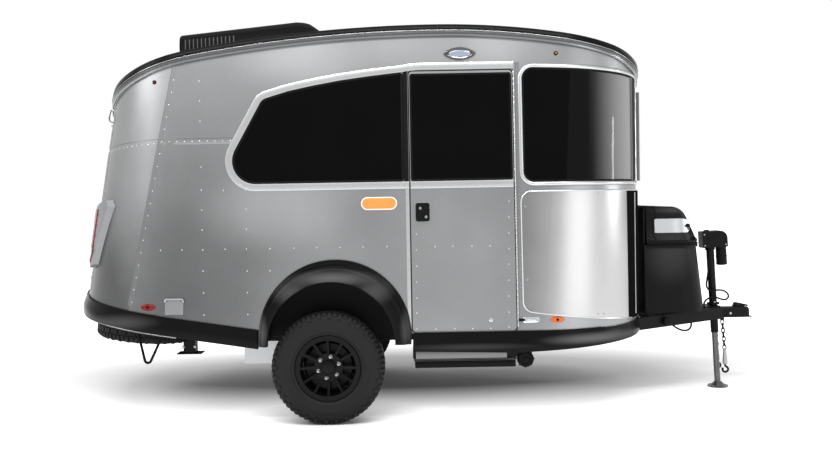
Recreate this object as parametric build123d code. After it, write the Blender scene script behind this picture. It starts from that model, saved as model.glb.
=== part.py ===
from build123d import *
import math
import os

# Small riveted-aluminium travel caravan on one axle, parked on its wheels and nose jack.
# Millimetres. +X points to the hitch, +Z up, Y = 0 is the centre plane and Z = 0 the ground.
# "right" is the -Y side, which has the entry door.

# ---------------------------------------------------------------- body
FLOOR_Z = 590.0                # lower edge of the walls
SIDE_HALF_WIDTH = 1030.0       # half width of the body at FLOOR_Z
TUMBLEHOME = 3.2               # degrees that each side leans in
REAR_APEX_X = -2455.0          # rearmost point of the body at FLOOR_Z
REAR_LEAN = 9.5                # degrees that the rear leans forward
FRONT_APEX_X = 1566.0          # foremost point of the body
REAR_END_RADIUS = 1500.0       # plan radius of the rear face
REAR_END_ANGLE = 26.0          # degrees from the centre line where the rear face turns the corner
FRONT_END_RADIUS = 1600.0
FRONT_END_ANGLE = 18.0
WALL = 38.0                    # whole wall, skin to lining
GLASS = 6.0                    # window pane
SIDE_TRIM = 0.4                # the rounded block is this much wider, and trimmed to plane sides
BLOCK_BOTTOM_Z = 380.0         # heights between which the tapering body is defined
BLOCK_TOP_Z = 2620.0
FAR = 3000.0                   # longer than anything here, for cutting tools

DEPARTURE_X = -819.0           # the wall's lower edge rises from here to the rear
DEPARTURE_SLOPE = 0.154

# ---------------------------------------------------------------- roof
ROOF_PEAK_X = 100.0
ROOF_PEAK_Z = 2574.0
ROOF_THICKNESS = 70.0
ROOF_LIP = 16.0
VENT_CENTRE = (250.0, 420.0)
VENT_SIZE = 400.0
COOLER_HALF_WIDTH = 335.0
# side profile of the roof unit, rear to front
COOLER_PROFILE = ((-1685.0, 2300.0), (-1678.0, 2630.0), (-930.0, 2716.0), (-820.0, 2706.0), (-728.0, 2650.0), (-700.0, 2420.0))
# (radius, angle from the peak where the arc ends)
ROOF_ARCS_FORWARD = ((5300.0, 12.5), (900.0, 44.0))
ROOF_ARCS_REARWARD = ((9300.0, 9.6), (2000.0, 46.0))

# ---------------------------------------------------------------- seams and openings
FRONT_SEAM_X = 640.0
FRONT_SEAM_Y = 430.0
REAR_SEAM_FLOOR_X = -1944.0    # the rear seam leans forward like the rear wall
REAR_SEAM_SLOPE = 0.206
REAR_SEAM_Y = 600.0
PANEL_GAP = 6.0                # gap round the door and the hatch

DOOR_X = (-78.0, 602.0)
DOOR_Z = (592.0, 2282.0)
DOOR_CORNER = 22.0
DOOR_GLASS_Z = (1565.0, 2262.0)
DOOR_FRAME = 55.0              # solid door left round its window
DOOR_HINGE_STANDOFF = 12.0     # hinge axis outside the skin

HATCH_HALF_WIDTH = 490.0
HATCH_Z = (872.0, 1985.0)
HATCH_CORNER = 60.0
HATCH_WINDOW_HALF_WIDTH = 370.0
HATCH_WINDOW_Z = (1330.0, 1860.0)
HATCH_HINGE_STANDOFF = 14.0

WINDOW_BOTTOM_Z = 1565.0
SIDE_WINDOW_FRONT_X = -112.0
SIDE_WINDOW_HEEL = (-1323.0, WINDOW_BOTTOM_Z)   # sharp corner before rounding
SIDE_WINDOW_SHOULDER = (-1022.0, 2112.0)
SIDE_WINDOW_CROWN = (-515.0, 2226.0)
SIDE_WINDOW_TOP_Z = 2273.0
SIDE_WINDOW_HEEL_RADIUS = 150.0
SIDE_WINDOW_SHOULDER_RADIUS = 70.0
SMALL_CORNER = 18.0

CORNER_WINDOW_X = 660.0
CORNER_WINDOW_Z = (1549.0, 2292.0)
CORNER_WINDOW_TOP_FRONT_Z = 2255.0
CORNER_WINDOW_RADIUS = 70.0
CORNER_WINDOW_INNER_Y = 470.0
FRONT_WINDOW_HALF_WIDTH = 390.0
FRONT_WINDOW_Z = (1549.0, 2190.0)

GUARD_STANDOFF = 6.0
GUARD_THICKNESS = 5.0
GUARD_TOP_Z = 1487.0
GUARD_REAR_X = (690.0, 662.0)  # at its lower and its upper edge
GUARD_REAR_BOTTOM_Z = 712.0
GUARD_FRONT_BOTTOM_Z = 602.0
GUARD_INNER_Y = 440.0
GUARD_RADIUS = 70.0

# ---------------------------------------------------------------- running gear
WHEEL_X = -625.0
WHEEL_Y = 916.0
TYRE_RADIUS = 366.5
TYRE_WIDTH = 235.0
RIM_SEAT_RADIUS = 190.0
RIM_FLANGE_RADIUS = 210.0
RIM_WIDTH = 178.0
SPOKE_COUNT = 12
HUB_RADIUS = 92.0
SPINDLE_RADIUS = 22.0
DRUM_RADIUS = 150.0
ARCH_CENTRE = (-596.0, 520.0)
ARCH_RADIUS = 409.0
FLARE_CENTRE = (-571.0, 579.0)
FLARE_RADIUS = 492.0
FLARE_CREST_RADIUS = 438.0
FLARE_HALF_WIDTH = 1067.0
FLARE_BOTTOM_Z = 520.0
SKIRT_PROUD = 14.0             # how far the black lower band stands out from the walls
SKIRT_REAR_X = -72.0
TAIL_SKIRT_FRONT_X = -1068.0
WHEEL_BOX_CENTRE = (-596.0, 540.0)
WHEEL_BOX_RADIUS = 452.0
WHEEL_BOX_WALL = 18.0
WHEEL_BOX_INNER_Y = 716.0
BEAM_X = -470.0
BEAM_SIZE = 80.0
ARM_Y = (748.0, 778.0)

# ---------------------------------------------------------------- frame
RAIL_Y = 620.0
RAIL_WIDTH = 50.0
RAIL_HEIGHT = 100.0
RAIL_REAR_HEIGHT = 70.0
RAIL_REAR_X = -2200.0
RAIL_FRONT_X = 1150.0
DRAWBAR_HALF_ANGLE = 25.0
DRAWBAR_RISE = 2.4             # degrees that the drawbar climbs towards the hitch
DRAWBAR_HEIGHT = 86.0
DRAWBAR_REAR_X = 900.0
DRAWBAR_REAR_Z = 510.0
DRAWBAR_FRONT_X = 2235.0
DRAWBAR_FRONT_Y = 62.0
COUPLER_TIP_X = 2465.0
BALL_X = 2415.0
BALL_SOCKET_RADIUS = 25.6
TRAY_BAR_X = (1700.0, 1985.0)     # bars that carry the bottle tray

# ---------------------------------------------------------------- nose jack
JACK_LEAN = 2.8
JACK_X = 2188.0                # where its axis passes the drawbar
JACK_Z = 560.0
JACK_TUBE_RADIUS = 28.5
JACK_TUBE_SPAN = (-150.0, 490.0)   # along its axis from JACK_Z
JACK_LEG_RADIUS = 22.0
JACK_FOOT_RADIUS = 75.0
JACK_BORE_GAP = 1.0

# ---------------------------------------------------------------- bottle cover
COVER_X = (1592.0, 2056.0)
COVER_TOP_FRONT_X = 2008.0
COVER_Z = (606.0, 1090.0)
COVER_HALF_WIDTH = (345.0, 325.0)
COVER_FRONT_RADIUS = 190.0
COVER_WALL = 12.0
LID_Z = (1100.0, 1376.0)
LID_TOP_FRONT_X = 1962.0
LID_BACK_DEPTH = 6.0           # the lid slides clear of the tub's back plate by this
LID_CREST = (1764.0, 1364.0)   # the lid's top slopes gently down to here
LID_BROW = (1872.0, 1336.0)    # and rounds over through here
LID_LIP = (1921.0, 1268.0)     # to meet the front
BOTTLE_X = 1770.0
BOTTLE_Y = 158.0
BOTTLE_RADIUS = 152.0
BOTTLE_Z = (615.0, 1040.0)

# ---------------------------------------------------------------- step
STEP_X = (-74.0, 602.0)
STEP_HOUSING_Z = (418.0, 474.0)
STEP_TREAD_Z = (354.0, 410.0)
STEP_Y = (-978.0, -640.0)

# ---------------------------------------------------------------- spare wheel and stabilisers
SPARE_X = -2060.0
SPARE_CENTRE_Z = 562.0
SPARE_TILT = 6.0
PULL_LOOP_X = (-1985.0, -1745.0)   # ends of the wire loop on the right rail
PULL_LOOP_LOW = (-1905.0, 312.0)
STABILISER_X = -1601.0
STABILISER_FOOT_Z = 421.0


# ================================================================ helpers
def sloped_floor(x):
    """Height of the walls' lower edge at x."""
    return FLOOR_Z + max(0.0, DEPARTURE_X - x) * DEPARTURE_SLOPE


def half_width(z):
    return SIDE_HALF_WIDTH - (z - FLOOR_Z) * math.tan(math.radians(TUMBLEHOME))


def rear_apex(z):
    return REAR_APEX_X + (z - FLOOR_Z) * math.tan(math.radians(REAR_LEAN))


def end_points(apex_x, direction, radius, angle, width):
    """Points of one rounded end in plan: side, mid corner and shoulder, on the +Y side."""
    turn = math.radians(angle)
    corner = (width - radius * math.sin(turn)) / (1.0 - math.sin(turn))
    centre_x = apex_x - direction * radius + direction * (radius - corner) * math.cos(turn)
    centre_y = (radius - corner) * math.sin(turn)
    middle = (turn + math.pi / 2) / 2
    side = (centre_x, width)
    mid_corner = (centre_x + direction * corner * math.cos(middle), centre_y + corner * math.sin(middle))
    shoulder = (centre_x + direction * corner * math.cos(turn), centre_y + corner * math.sin(turn))
    return side, mid_corner, shoulder


def plan_outline(z, inset):
    """Closed outline of the body at height z, inset by a distance (negative is outwards)."""
    width = half_width(z) - inset + SIDE_TRIM
    front_apex = FRONT_APEX_X - inset
    back_apex = rear_apex(z) + inset
    front = end_points(front_apex, 1, FRONT_END_RADIUS - inset, FRONT_END_ANGLE, width)
    back = end_points(back_apex, -1, REAR_END_RADIUS - inset, REAR_END_ANGLE, width)

    def at(point, sign):
        return (point[0], sign * point[1], z)

    edges = [
        Edge.make_line(at(back[0], 1), at(front[0], 1)),
        Edge.make_three_point_arc(at(front[0], 1), at(front[1], 1), at(front[2], 1)),
        Edge.make_three_point_arc(at(front[2], 1), (front_apex, 0, z), at(front[2], -1)),
        Edge.make_three_point_arc(at(front[2], -1), at(front[1], -1), at(front[0], -1)),
        Edge.make_line(at(front[0], -1), at(back[0], -1)),
        Edge.make_three_point_arc(at(back[0], -1), at(back[1], -1), at(back[2], -1)),
        Edge.make_three_point_arc(at(back[2], -1), (back_apex, 0, z), at(back[2], 1)),
        Edge.make_three_point_arc(at(back[2], 1), at(back[1], 1), at(back[0], 1)),
    ]
    return Wire(edges)


def between_sides(inset):
    """Everything between the leaning planes of the two side walls."""
    low = half_width(0) - inset
    high = half_width(FAR) - inset
    face = polygon([(-low, 0), (low, 0), (high, FAR), (-high, FAR)])
    return extrude(Plane.YZ.offset(-FAR) * face, amount=2 * FAR)


def body_block(inset):
    """The tapering body without its roof curve, as one block with plane sides."""
    outlines = [plan_outline(z, inset) for z in (BLOCK_BOTTOM_Z, BLOCK_TOP_Z)]
    return Solid.make_loft(outlines, True) & between_sides(inset)


def arc_chain(direction, arcs, drop):
    """Tangent arcs from the roof's peak, `drop` below the roof line, as (start, middle, end) points."""
    centre_x = ROOF_PEAK_X
    centre_z = ROOF_PEAK_Z - arcs[0][0]
    start = 0.0
    previous = arcs[0][0]
    spans = []
    for radius, end_angle in arcs:
        centre_x += direction * (previous - radius) * math.sin(start)
        centre_z += (previous - radius) * math.cos(start)
        end = math.radians(end_angle)
        reach = radius - drop
        angles = (start, (start + end) / 2, end)
        spans.append([(centre_x + direction * reach * math.sin(a), centre_z + reach * math.cos(a)) for a in angles])
        start = end
        previous = radius
    return spans


def roof_edges(drop):
    """Edges of the roof line from the rear to the front, with their two end points."""
    forward = arc_chain(1, ROOF_ARCS_FORWARD, drop)
    rearward = arc_chain(-1, ROOF_ARCS_REARWARD, drop)
    edges = [ThreePointArc(*reversed(span)) for span in reversed(rearward)]
    edges += [ThreePointArc(*span) for span in forward]
    return edges, rearward[-1][2], forward[-1][2]


def prism_xz(sketch, y_from, y_to):
    """Extrude an X-Z sketch between two Y values."""
    return Pos(0, y_to, 0) * extrude(Plane.XZ * sketch, amount=y_to - y_from)


def polygon(points):
    return make_face(Polyline(*points, close=True))


def box(x_span, y_span, z_span):
    centre = [(span[0] + span[1]) / 2 for span in (x_span, y_span, z_span)]
    size = [abs(span[1] - span[0]) for span in (x_span, y_span, z_span)]
    return Pos(*centre) * Box(*size)


def rounded_rectangle(x_span, z_span, radius):
    centre_x = (x_span[0] + x_span[1]) / 2
    centre_z = (z_span[0] + z_span[1]) / 2
    return Pos(centre_x, centre_z) * RectangleRounded(x_span[1] - x_span[0], z_span[1] - z_span[0], radius)


def both_sides(shape):
    return [shape, mirror(shape, about=Plane.XZ)]


def lean_along_jack(shape):
    """Place a shape made upright about the jack's axis."""
    return Pos(JACK_X, 0, JACK_Z) * Rot(0, -JACK_LEAN, 0) * shape


# ================================================================ outlines of the openings
def door_outline(inset):
    x_span = (DOOR_X[0] + inset, DOOR_X[1] - inset)
    z_span = (DOOR_Z[0] + inset, DOOR_Z[1] - inset)
    return rounded_rectangle(x_span, z_span, DOOR_CORNER)


def side_window_outline():
    """Long window whose roof line falls to a rounded heel at the rear."""
    top_front = (SIDE_WINDOW_FRONT_X, SIDE_WINDOW_TOP_Z)
    bottom_front = (SIDE_WINDOW_FRONT_X, WINDOW_BOTTOM_Z)
    face = make_face([
        Line(SIDE_WINDOW_HEEL, bottom_front),
        Line(bottom_front, top_front),
        ThreePointArc(top_front, SIDE_WINDOW_CROWN, SIDE_WINDOW_SHOULDER),
        Line(SIDE_WINDOW_SHOULDER, SIDE_WINDOW_HEEL),
    ])
    corners = face.vertices().sort_by(Axis.X)
    face = fillet(corners[0], SIDE_WINDOW_HEEL_RADIUS)
    shoulder = face.vertices().sort_by(lambda v: math.dist((v.X, v.Y), SIDE_WINDOW_SHOULDER))[0]
    face = fillet(shoulder, SIDE_WINDOW_SHOULDER_RADIUS)
    return fillet(face.vertices().sort_by(Axis.X)[-2:], SMALL_CORNER)


def corner_window_outline():
    rear_bottom = (CORNER_WINDOW_X, CORNER_WINDOW_Z[0])
    rear_top = (CORNER_WINDOW_X, CORNER_WINDOW_Z[1])
    face = polygon([
        rear_bottom, (FRONT_APEX_X, CORNER_WINDOW_Z[0]), (FRONT_APEX_X, CORNER_WINDOW_TOP_FRONT_Z), rear_top])
    return fillet(face.vertices().sort_by(Axis.X)[:2], CORNER_WINDOW_RADIUS)


def guard_outline():
    lower_rear = (GUARD_REAR_X[0], GUARD_REAR_BOTTOM_Z)
    upper_rear = (GUARD_REAR_X[1], GUARD_TOP_Z)
    lower_front = (FRONT_APEX_X, GUARD_FRONT_BOTTOM_Z)
    face = polygon([lower_rear, lower_front, (FRONT_APEX_X, GUARD_TOP_Z), upper_rear])
    return fillet(face.vertices().sort_by(Axis.X)[:2], GUARD_RADIUS)


def hatch_prism(half_width_y, z_span, radius):
    """Opening through the rear wall, extruded along X."""
    sketch = Pos(0, (z_span[0] + z_span[1]) / 2) * RectangleRounded(2 * half_width_y, z_span[1] - z_span[0], radius)
    return extrude(Plane.YZ.offset(-FAR) * sketch, amount=FAR - 1500.0)


def side_region():
    """X-Z outline of a side wall between its two seams."""
    def seam(z):
        return REAR_SEAM_FLOOR_X + (z - FLOOR_Z) * REAR_SEAM_SLOPE
    return polygon([(seam(0), 0), (FRONT_SEAM_X, 0), (FRONT_SEAM_X, FAR), (seam(FAR), FAR)])


def rear_region():
    def seam(z):
        return REAR_SEAM_FLOOR_X + (z - FLOOR_Z) * REAR_SEAM_SLOPE
    return polygon([(seam(0), 0), (seam(FAR), FAR), (-FAR, FAR), (-FAR, 0)])


def front_region():
    return polygon([(FRONT_SEAM_X, 0), (FAR, 0), (FAR, FAR), (FRONT_SEAM_X, FAR)])


# ================================================================ body shell
OUTER = body_block(0)
SKIN_BACK = body_block(GLASS)
INNER = body_block(WALL)


def wall_shell():
    """All walls in one ring, under the roof and above the sloping lower edge."""
    edges, rear_end, front_end = roof_edges(ROOF_THICKNESS)
    rear_floor = sloped_floor(rear_end[0])
    lines = [
        Line(front_end, (front_end[0], FLOOR_Z)),
        Line((front_end[0], FLOOR_Z), (DEPARTURE_X, FLOOR_Z)),
        Line((DEPARTURE_X, FLOOR_Z), (rear_end[0], rear_floor)),
        Line((rear_end[0], rear_floor), rear_end),
    ]
    profile = prism_xz(make_face(edges + lines), -FAR, FAR)
    return (OUTER - INNER) & profile


SHELL = wall_shell()
PANE = OUTER - SKIN_BACK


def arch_hole(side):
    face = Pos(*ARCH_CENTRE) * Circle(ARCH_RADIUS + 20.0)
    return prism_xz(face, -FAR, 0) if side < 0 else prism_xz(face, 0, FAR)


def side_wall_right():
    wall = SHELL & prism_xz(side_region(), -FAR, 0)
    wall -= prism_xz(door_outline(0), -FAR, 0)
    wall -= prism_xz(side_window_outline(), -FAR, 0)
    return wall - arch_hole(-1)


def side_wall_left():
    wall = SHELL & prism_xz(side_region(), 0, FAR)
    wall -= prism_xz(side_window_outline(), 0, FAR)
    return wall - arch_hole(1)


def front_corner():
    corner = SHELL & prism_xz(front_region(), -FAR, -FRONT_SEAM_Y)
    return corner - prism_xz(corner_window_outline(), -FAR, -CORNER_WINDOW_INNER_Y)


def front_window_prism():
    span = FRONT_WINDOW_HALF_WIDTH
    sketch = Pos(0, sum(FRONT_WINDOW_Z) / 2) * RectangleRounded(2 * span, FRONT_WINDOW_Z[1] - FRONT_WINDOW_Z[0], 40)
    return extrude(Plane.YZ.offset(1000.0) * sketch, amount=1000.0)


def front_wall():
    return (SHELL & prism_xz(front_region(), -FRONT_SEAM_Y, FRONT_SEAM_Y)) - front_window_prism()


def rear_corner():
    return SHELL & prism_xz(rear_region(), -FAR, -REAR_SEAM_Y)


def rear_wall():
    wall = SHELL & prism_xz(rear_region(), -REAR_SEAM_Y, REAR_SEAM_Y)
    return wall - hatch_prism(HATCH_HALF_WIDTH, HATCH_Z, HATCH_CORNER)


def roof_shell():
    top, top_rear, top_front = roof_edges(0)
    under, under_rear, under_front = roof_edges(ROOF_THICKNESS)
    face = make_face(top + under + [Line(top_rear, under_rear), Line(top_front, under_front)])
    return body_block(-ROOF_LIP) & prism_xz(face, -FAR, FAR)


def side_windows():
    pane = PANE & prism_xz(side_window_outline(), -FAR, 0)
    return both_sides(pane)


def front_windows():
    corner = PANE & prism_xz(corner_window_outline(), -FAR, -CORNER_WINDOW_INNER_Y)
    centre = PANE & front_window_prism()
    return both_sides(corner) + [centre]


def stone_guards():
    standoff = body_block(-GUARD_STANDOFF - GUARD_THICKNESS) - OUTER
    return both_sides(standoff & prism_xz(guard_outline(), -FAR, -GUARD_INNER_Y))


def floor_deck():
    """Sandwich floor inside the walls, with a rising tail and openings for the wheel boxes."""
    depth = 50.0
    tail = sloped_floor(-FAR)
    profile = polygon([
        (FAR, FLOOR_Z), (DEPARTURE_X, FLOOR_Z), (-FAR, tail),
        (-FAR, tail + depth), (DEPARTURE_X, FLOOR_Z + depth), (FAR, FLOOR_Z + depth),
    ])
    deck = INNER & prism_xz(profile, -FAR, FAR)
    reach = WHEEL_BOX_RADIUS
    for side in (-1, 1):
        x_span = (WHEEL_BOX_CENTRE[0] - reach, WHEEL_BOX_CENTRE[0] + reach)
        y_span = sorted((side * WHEEL_BOX_INNER_Y, side * FAR))
        deck -= box(x_span, y_span, (FLOOR_Z - 1.0, FLOOR_Z + 200.0))
    return deck


# ================================================================ skirts and flares
def skirt_ring():
    return body_block(-SKIRT_PROUD) - body_block(30.0)


def front_skirt():
    """Black lower band from the wheel arch round the nose."""
    profile = polygon([
        (SKIRT_REAR_X, FLOOR_Z), (FAR, FLOOR_Z), (FAR, 500.0), (1500.0, 494.0), (600.0, 456.0), (SKIRT_REAR_X, 474.0)])
    skirt = skirt_ring() & prism_xz(profile, -FAR, FAR)
    for rail in both_sides(drawbar_rail(4.0)):
        skirt -= tilt_drawbar(rail)
    return skirt


def rear_skirt():
    """Black lower band behind the wheel arches, which climbs to the rear."""
    start = TAIL_SKIRT_FRONT_X
    depth = 122.0
    profile = polygon([
        (start, sloped_floor(start)), (start, sloped_floor(start) - depth),
        (-FAR, sloped_floor(-FAR) - depth), (-FAR, sloped_floor(-FAR)),
    ])
    return skirt_ring() & prism_xz(profile, -FAR, FAR)


def outside_right_wall():
    """Everything beyond the plane of the right side wall, for what stands on it."""
    face = polygon([(-half_width(0), 0), (-FAR, 0), (-FAR, FAR), (-half_width(FAR), FAR)])
    return extrude(Plane.YZ.offset(-FAR) * face, amount=2 * FAR)


def wheel_flare():
    """Arched flare that stands out from the right wall and rounds in to its crest."""
    y_crest = -FLARE_HALF_WIDTH
    y_shoulder = -SIDE_HALF_WIDTH - 4.0
    arch = prism_xz(Pos(*FLARE_CENTRE) * Circle(FLARE_RADIUS), y_shoulder, y_shoulder + 50.0)
    face_out = Pos(FLARE_CENTRE[0], (y_crest + y_shoulder) / 2, FLARE_CENTRE[1]) * Rot(90, 0, 0)
    arch += face_out * Cone(FLARE_RADIUS, FLARE_CREST_RADIUS, y_shoulder - y_crest)
    arch -= prism_xz(Pos(*ARCH_CENTRE) * Circle(ARCH_RADIUS), -FAR, FAR)
    arch -= box((-FAR, FAR), (-FAR, FAR), (-FAR, FLARE_BOTTOM_Z))
    return arch & outside_right_wall()


def wheel_box():
    """Half-round box in the right side of the floor that clears the tyre."""
    def drum(radius, y_from, y_to):
        outline = Pos(*WHEEL_BOX_CENTRE) * Circle(radius)
        return prism_xz(outline, y_from, y_to)
    shell = drum(WHEEL_BOX_RADIUS, -SIDE_HALF_WIDTH, -WHEEL_BOX_INNER_Y)
    shell -= drum(WHEEL_BOX_RADIUS - WHEEL_BOX_WALL, -FAR, -WHEEL_BOX_INNER_Y - WHEEL_BOX_WALL)
    shell -= box((-FAR, FAR), (-FAR, FAR), (-FAR, WHEEL_BOX_CENTRE[1]))
    return shell & between_sides(WALL)


# ================================================================ frame
def rail_bottom(x):
    """Lower edge of the main rails, which taper along the rising tail."""
    share = max(0.0, DEPARTURE_X - x) / (DEPARTURE_X - RAIL_REAR_X)
    return sloped_floor(x) - RAIL_HEIGHT + share * (RAIL_HEIGHT - RAIL_REAR_HEIGHT)


def main_rail(y):
    """Frame rail under the floor, which follows the rising tail."""
    lower = [(x, rail_bottom(x)) for x in (RAIL_REAR_X, DEPARTURE_X, RAIL_FRONT_X)]
    upper = [(x, sloped_floor(x)) for x in (RAIL_FRONT_X, DEPARTURE_X, RAIL_REAR_X)]
    return prism_xz(polygon(lower + upper), y - RAIL_WIDTH / 2, y + RAIL_WIDTH / 2)


def drawbar_rail(clearance):
    """Right side of the drawbar's V, level before it is tilted."""
    length = DRAWBAR_FRONT_X - DRAWBAR_REAR_X
    spread = length * math.tan(math.radians(DRAWBAR_HALF_ANGLE))
    half = (RAIL_WIDTH / 2 + clearance) / math.cos(math.radians(DRAWBAR_HALF_ANGLE))
    front_y = -DRAWBAR_FRONT_Y
    rear_y = front_y - spread
    outline = polygon([(0, rear_y - half), (length, front_y - half), (length, front_y + half), (0, rear_y + half)])
    return extrude(outline, amount=DRAWBAR_HEIGHT / 2 + clearance, both=True)


def tilt_drawbar(shape):
    return Pos(DRAWBAR_REAR_X, 0, DRAWBAR_REAR_Z) * Rot(0, -DRAWBAR_RISE, 0) * shape


def drawbar_top(x):
    rise = math.tan(math.radians(DRAWBAR_RISE))
    return DRAWBAR_REAR_Z + DRAWBAR_HEIGHT / 2 + (x - DRAWBAR_REAR_X) * rise


def chassis_frame():
    """Ladder frame with a V drawbar, fused as it is welded."""
    frame = main_rail(RAIL_Y) + main_rail(-RAIL_Y)
    cross_height = 60.0
    half_length = 25.0
    reach = RAIL_Y - RAIL_WIDTH / 2 + 1.0
    for x in (RAIL_FRONT_X - 30.0, 300.0, BEAM_X + 120.0, -1350.0, RAIL_REAR_X + 30.0):
        top = sloped_floor(x + half_length)
        frame += box((x - half_length, x + half_length), (-reach, reach), (top - cross_height, top))
    for x in TRAY_BAR_X:
        half_span = DRAWBAR_FRONT_Y + (DRAWBAR_FRONT_X - x) * math.tan(math.radians(DRAWBAR_HALF_ANGLE))
        frame += box((x - 20.0, x + 20.0), (-half_span, half_span), (drawbar_top(x) - 30.0, COVER_Z[0]))
    drawbar = both_sides(drawbar_rail(0.0))
    plate_x = DRAWBAR_FRONT_X - DRAWBAR_REAR_X - 94.0
    plate = Pos(plate_x, 0, DRAWBAR_HEIGHT / 2 + 4.0) * Box(150.0, 180.0, 8.0)
    frame += tilt_drawbar(drawbar[0] + drawbar[1] + plate)
    return frame - lean_along_jack(Cylinder(JACK_TUBE_RADIUS + 0.5, 900.0))


def coupler():
    """Ball coupler with its channel, socket and latch."""
    deck_z = 568.0
    channel = box((2170.0, BALL_X), (-40.0, 40.0), (deck_z - 44.0, deck_z + 32.0))
    channel -= box((2170.0 - 1.0, BALL_X), (-34.0, 34.0), (deck_z - 50.0, deck_z + 26.0))
    channel -= box((2100.0, 2236.0), (-FAR, FAR), (0, FAR))
    socket = Pos(BALL_X, 0, deck_z - 6.0) * Cylinder(40.0, 76.0)
    socket = fillet(socket.edges().filter_by(GeomType.CIRCLE).sort_by(Axis.Z)[-1], 24.0)
    lip = box((BALL_X, COUPLER_TIP_X), (-34.0, 34.0), (deck_z - 44.0, deck_z - 38.0))
    latch = box((2330.0, 2420.0), (-13.0, 13.0), (deck_z + 34.0, deck_z + 46.0))
    latch += box((2340.0, 2372.0), (-8.0, 8.0), (deck_z + 24.0, deck_z + 36.0))
    shape = channel + socket + lip + latch
    return shape - Pos(BALL_X, 0, deck_z - 24.0) * Cylinder(BALL_SOCKET_RADIUS, 52.0)


def axle_beam():
    """Rubber-torsion axle with a trailing arm and a wheel spindle on each side."""
    beam_z = FLOOR_Z - RAIL_HEIGHT - BEAM_SIZE / 2
    axle = box((BEAM_X - BEAM_SIZE / 2, BEAM_X + BEAM_SIZE / 2), (-ARM_Y[0], ARM_Y[0]),
               (beam_z - BEAM_SIZE / 2, beam_z + BEAM_SIZE / 2))
    for side in (-1, 1):
        y_low, y_high = sorted((side * ARM_Y[0], side * ARM_Y[1]))
        arm = make_hull((Pos(BEAM_X, beam_z) * Circle(42.0) + Pos(WHEEL_X, TYRE_RADIUS) * Circle(34.0)).edges())
        axle += prism_xz(arm, y_low, y_high)
        spindle_low, spindle_high = sorted((side * ARM_Y[1], side * (WHEEL_Y + 20.0)))
        axle += prism_xz(Pos(WHEEL_X, TYRE_RADIUS) * Circle(SPINDLE_RADIUS), spindle_low, spindle_high)
    return axle


# ================================================================ wheels (made flat, outer face up)
def tyre():
    half = TYRE_WIDTH / 2
    bead = RIM_SEAT_RADIUS + 1.0
    profile = make_face([
        Line((bead, -72.0), (bead, 72.0)),
        Line((bead, 72.0), (RIM_FLANGE_RADIUS + 6.0, 90.0)),
        ThreePointArc((RIM_FLANGE_RADIUS + 6.0, 90.0), (285.0, half), (TYRE_RADIUS - 22.0, half - 18.0)),
        Line((TYRE_RADIUS - 22.0, half - 18.0), (TYRE_RADIUS, half - 40.0)),
        Line((TYRE_RADIUS, half - 40.0), (TYRE_RADIUS, 40.0 - half)),
        Line((TYRE_RADIUS, 40.0 - half), (TYRE_RADIUS - 22.0, 18.0 - half)),
        ThreePointArc((TYRE_RADIUS - 22.0, 18.0 - half), (285.0, -half), (RIM_FLANGE_RADIUS + 6.0, -90.0)),
        Line((RIM_FLANGE_RADIUS + 6.0, -90.0), (bead, -72.0)),
    ])
    return revolve(Plane.XZ * profile, Axis.Z)


def rim():
    """Wheel with barrel, flanges, hub, spokes and the brake drum behind them."""
    half = RIM_WIDTH / 2
    barrel = Cylinder(RIM_SEAT_RADIUS, RIM_WIDTH) - Cylinder(RIM_SEAT_RADIUS - 9.0, RIM_WIDTH + 2.0)
    for z in (half + 3.0, -half - 3.0):
        flange = Cylinder(RIM_FLANGE_RADIUS, 6.0) - Cylinder(RIM_SEAT_RADIUS - 9.0, 8.0)
        barrel += Pos(0, 0, z) * flange
    face_z = 44.0
    hub = Pos(0, 0, face_z - 12.0) * Cylinder(HUB_RADIUS, 26.0)
    hub += Pos(0, 0, face_z + 12.0) * Cylinder(45.0, 26.0)
    hub -= Pos(0, 0, face_z - 25.0) * Cylinder(SPINDLE_RADIUS + 1.0, 40.0)
    inner = HUB_RADIUS - 12.0
    outer = RIM_SEAT_RADIUS - 4.0
    spoke = extrude(Plane.XZ.offset(-8.0) * polygon([
        (inner, face_z - 18.0), (outer, half - 34.0), (outer, half - 6.0), (inner, face_z)]), amount=16.0)
    wheel = barrel + hub
    for turn in range(SPOKE_COUNT):
        wheel += Rot(0, 0, turn * 360.0 / SPOKE_COUNT) * spoke
    drum = Pos(0, 0, -50.0) * Cylinder(DRUM_RADIUS, 80.0) - Pos(0, 0, -56.0) * Cylinder(DRUM_RADIUS - 10.0, 72.0)
    drum -= Cylinder(SPINDLE_RADIUS + 1.0, 300.0)
    neck = Pos(0, 0, 5.0) * Cylinder(60.0, 34.0) - Cylinder(SPINDLE_RADIUS + 1.0, 300.0)
    return wheel + drum + neck


def on_axle(shape, side):
    return Pos(WHEEL_X, side * WHEEL_Y, TYRE_RADIUS) * Rot(-90.0 * side, 0, 0) * shape


def in_spare_place(shape):
    return Pos(SPARE_X, 0, SPARE_CENTRE_Z) * Rot(0, SPARE_TILT, 0) * shape


def spare_rim():
    half = RIM_WIDTH / 2
    barrel = Cylinder(RIM_SEAT_RADIUS, RIM_WIDTH) - Cylinder(RIM_SEAT_RADIUS - 9.0, RIM_WIDTH + 2.0)
    disc = Pos(0, 0, -20.0) * Cylinder(RIM_SEAT_RADIUS - 8.0, 8.0) - Pos(0, 0, -20.0) * Cylinder(16.0, 20.0)
    for z in (half + 3.0, -half - 3.0):
        barrel += Pos(0, 0, z) * (Cylinder(RIM_FLANGE_RADIUS, 6.0) - Cylinder(RIM_SEAT_RADIUS - 9.0, 8.0))
    return in_spare_place(barrel + disc)


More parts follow.
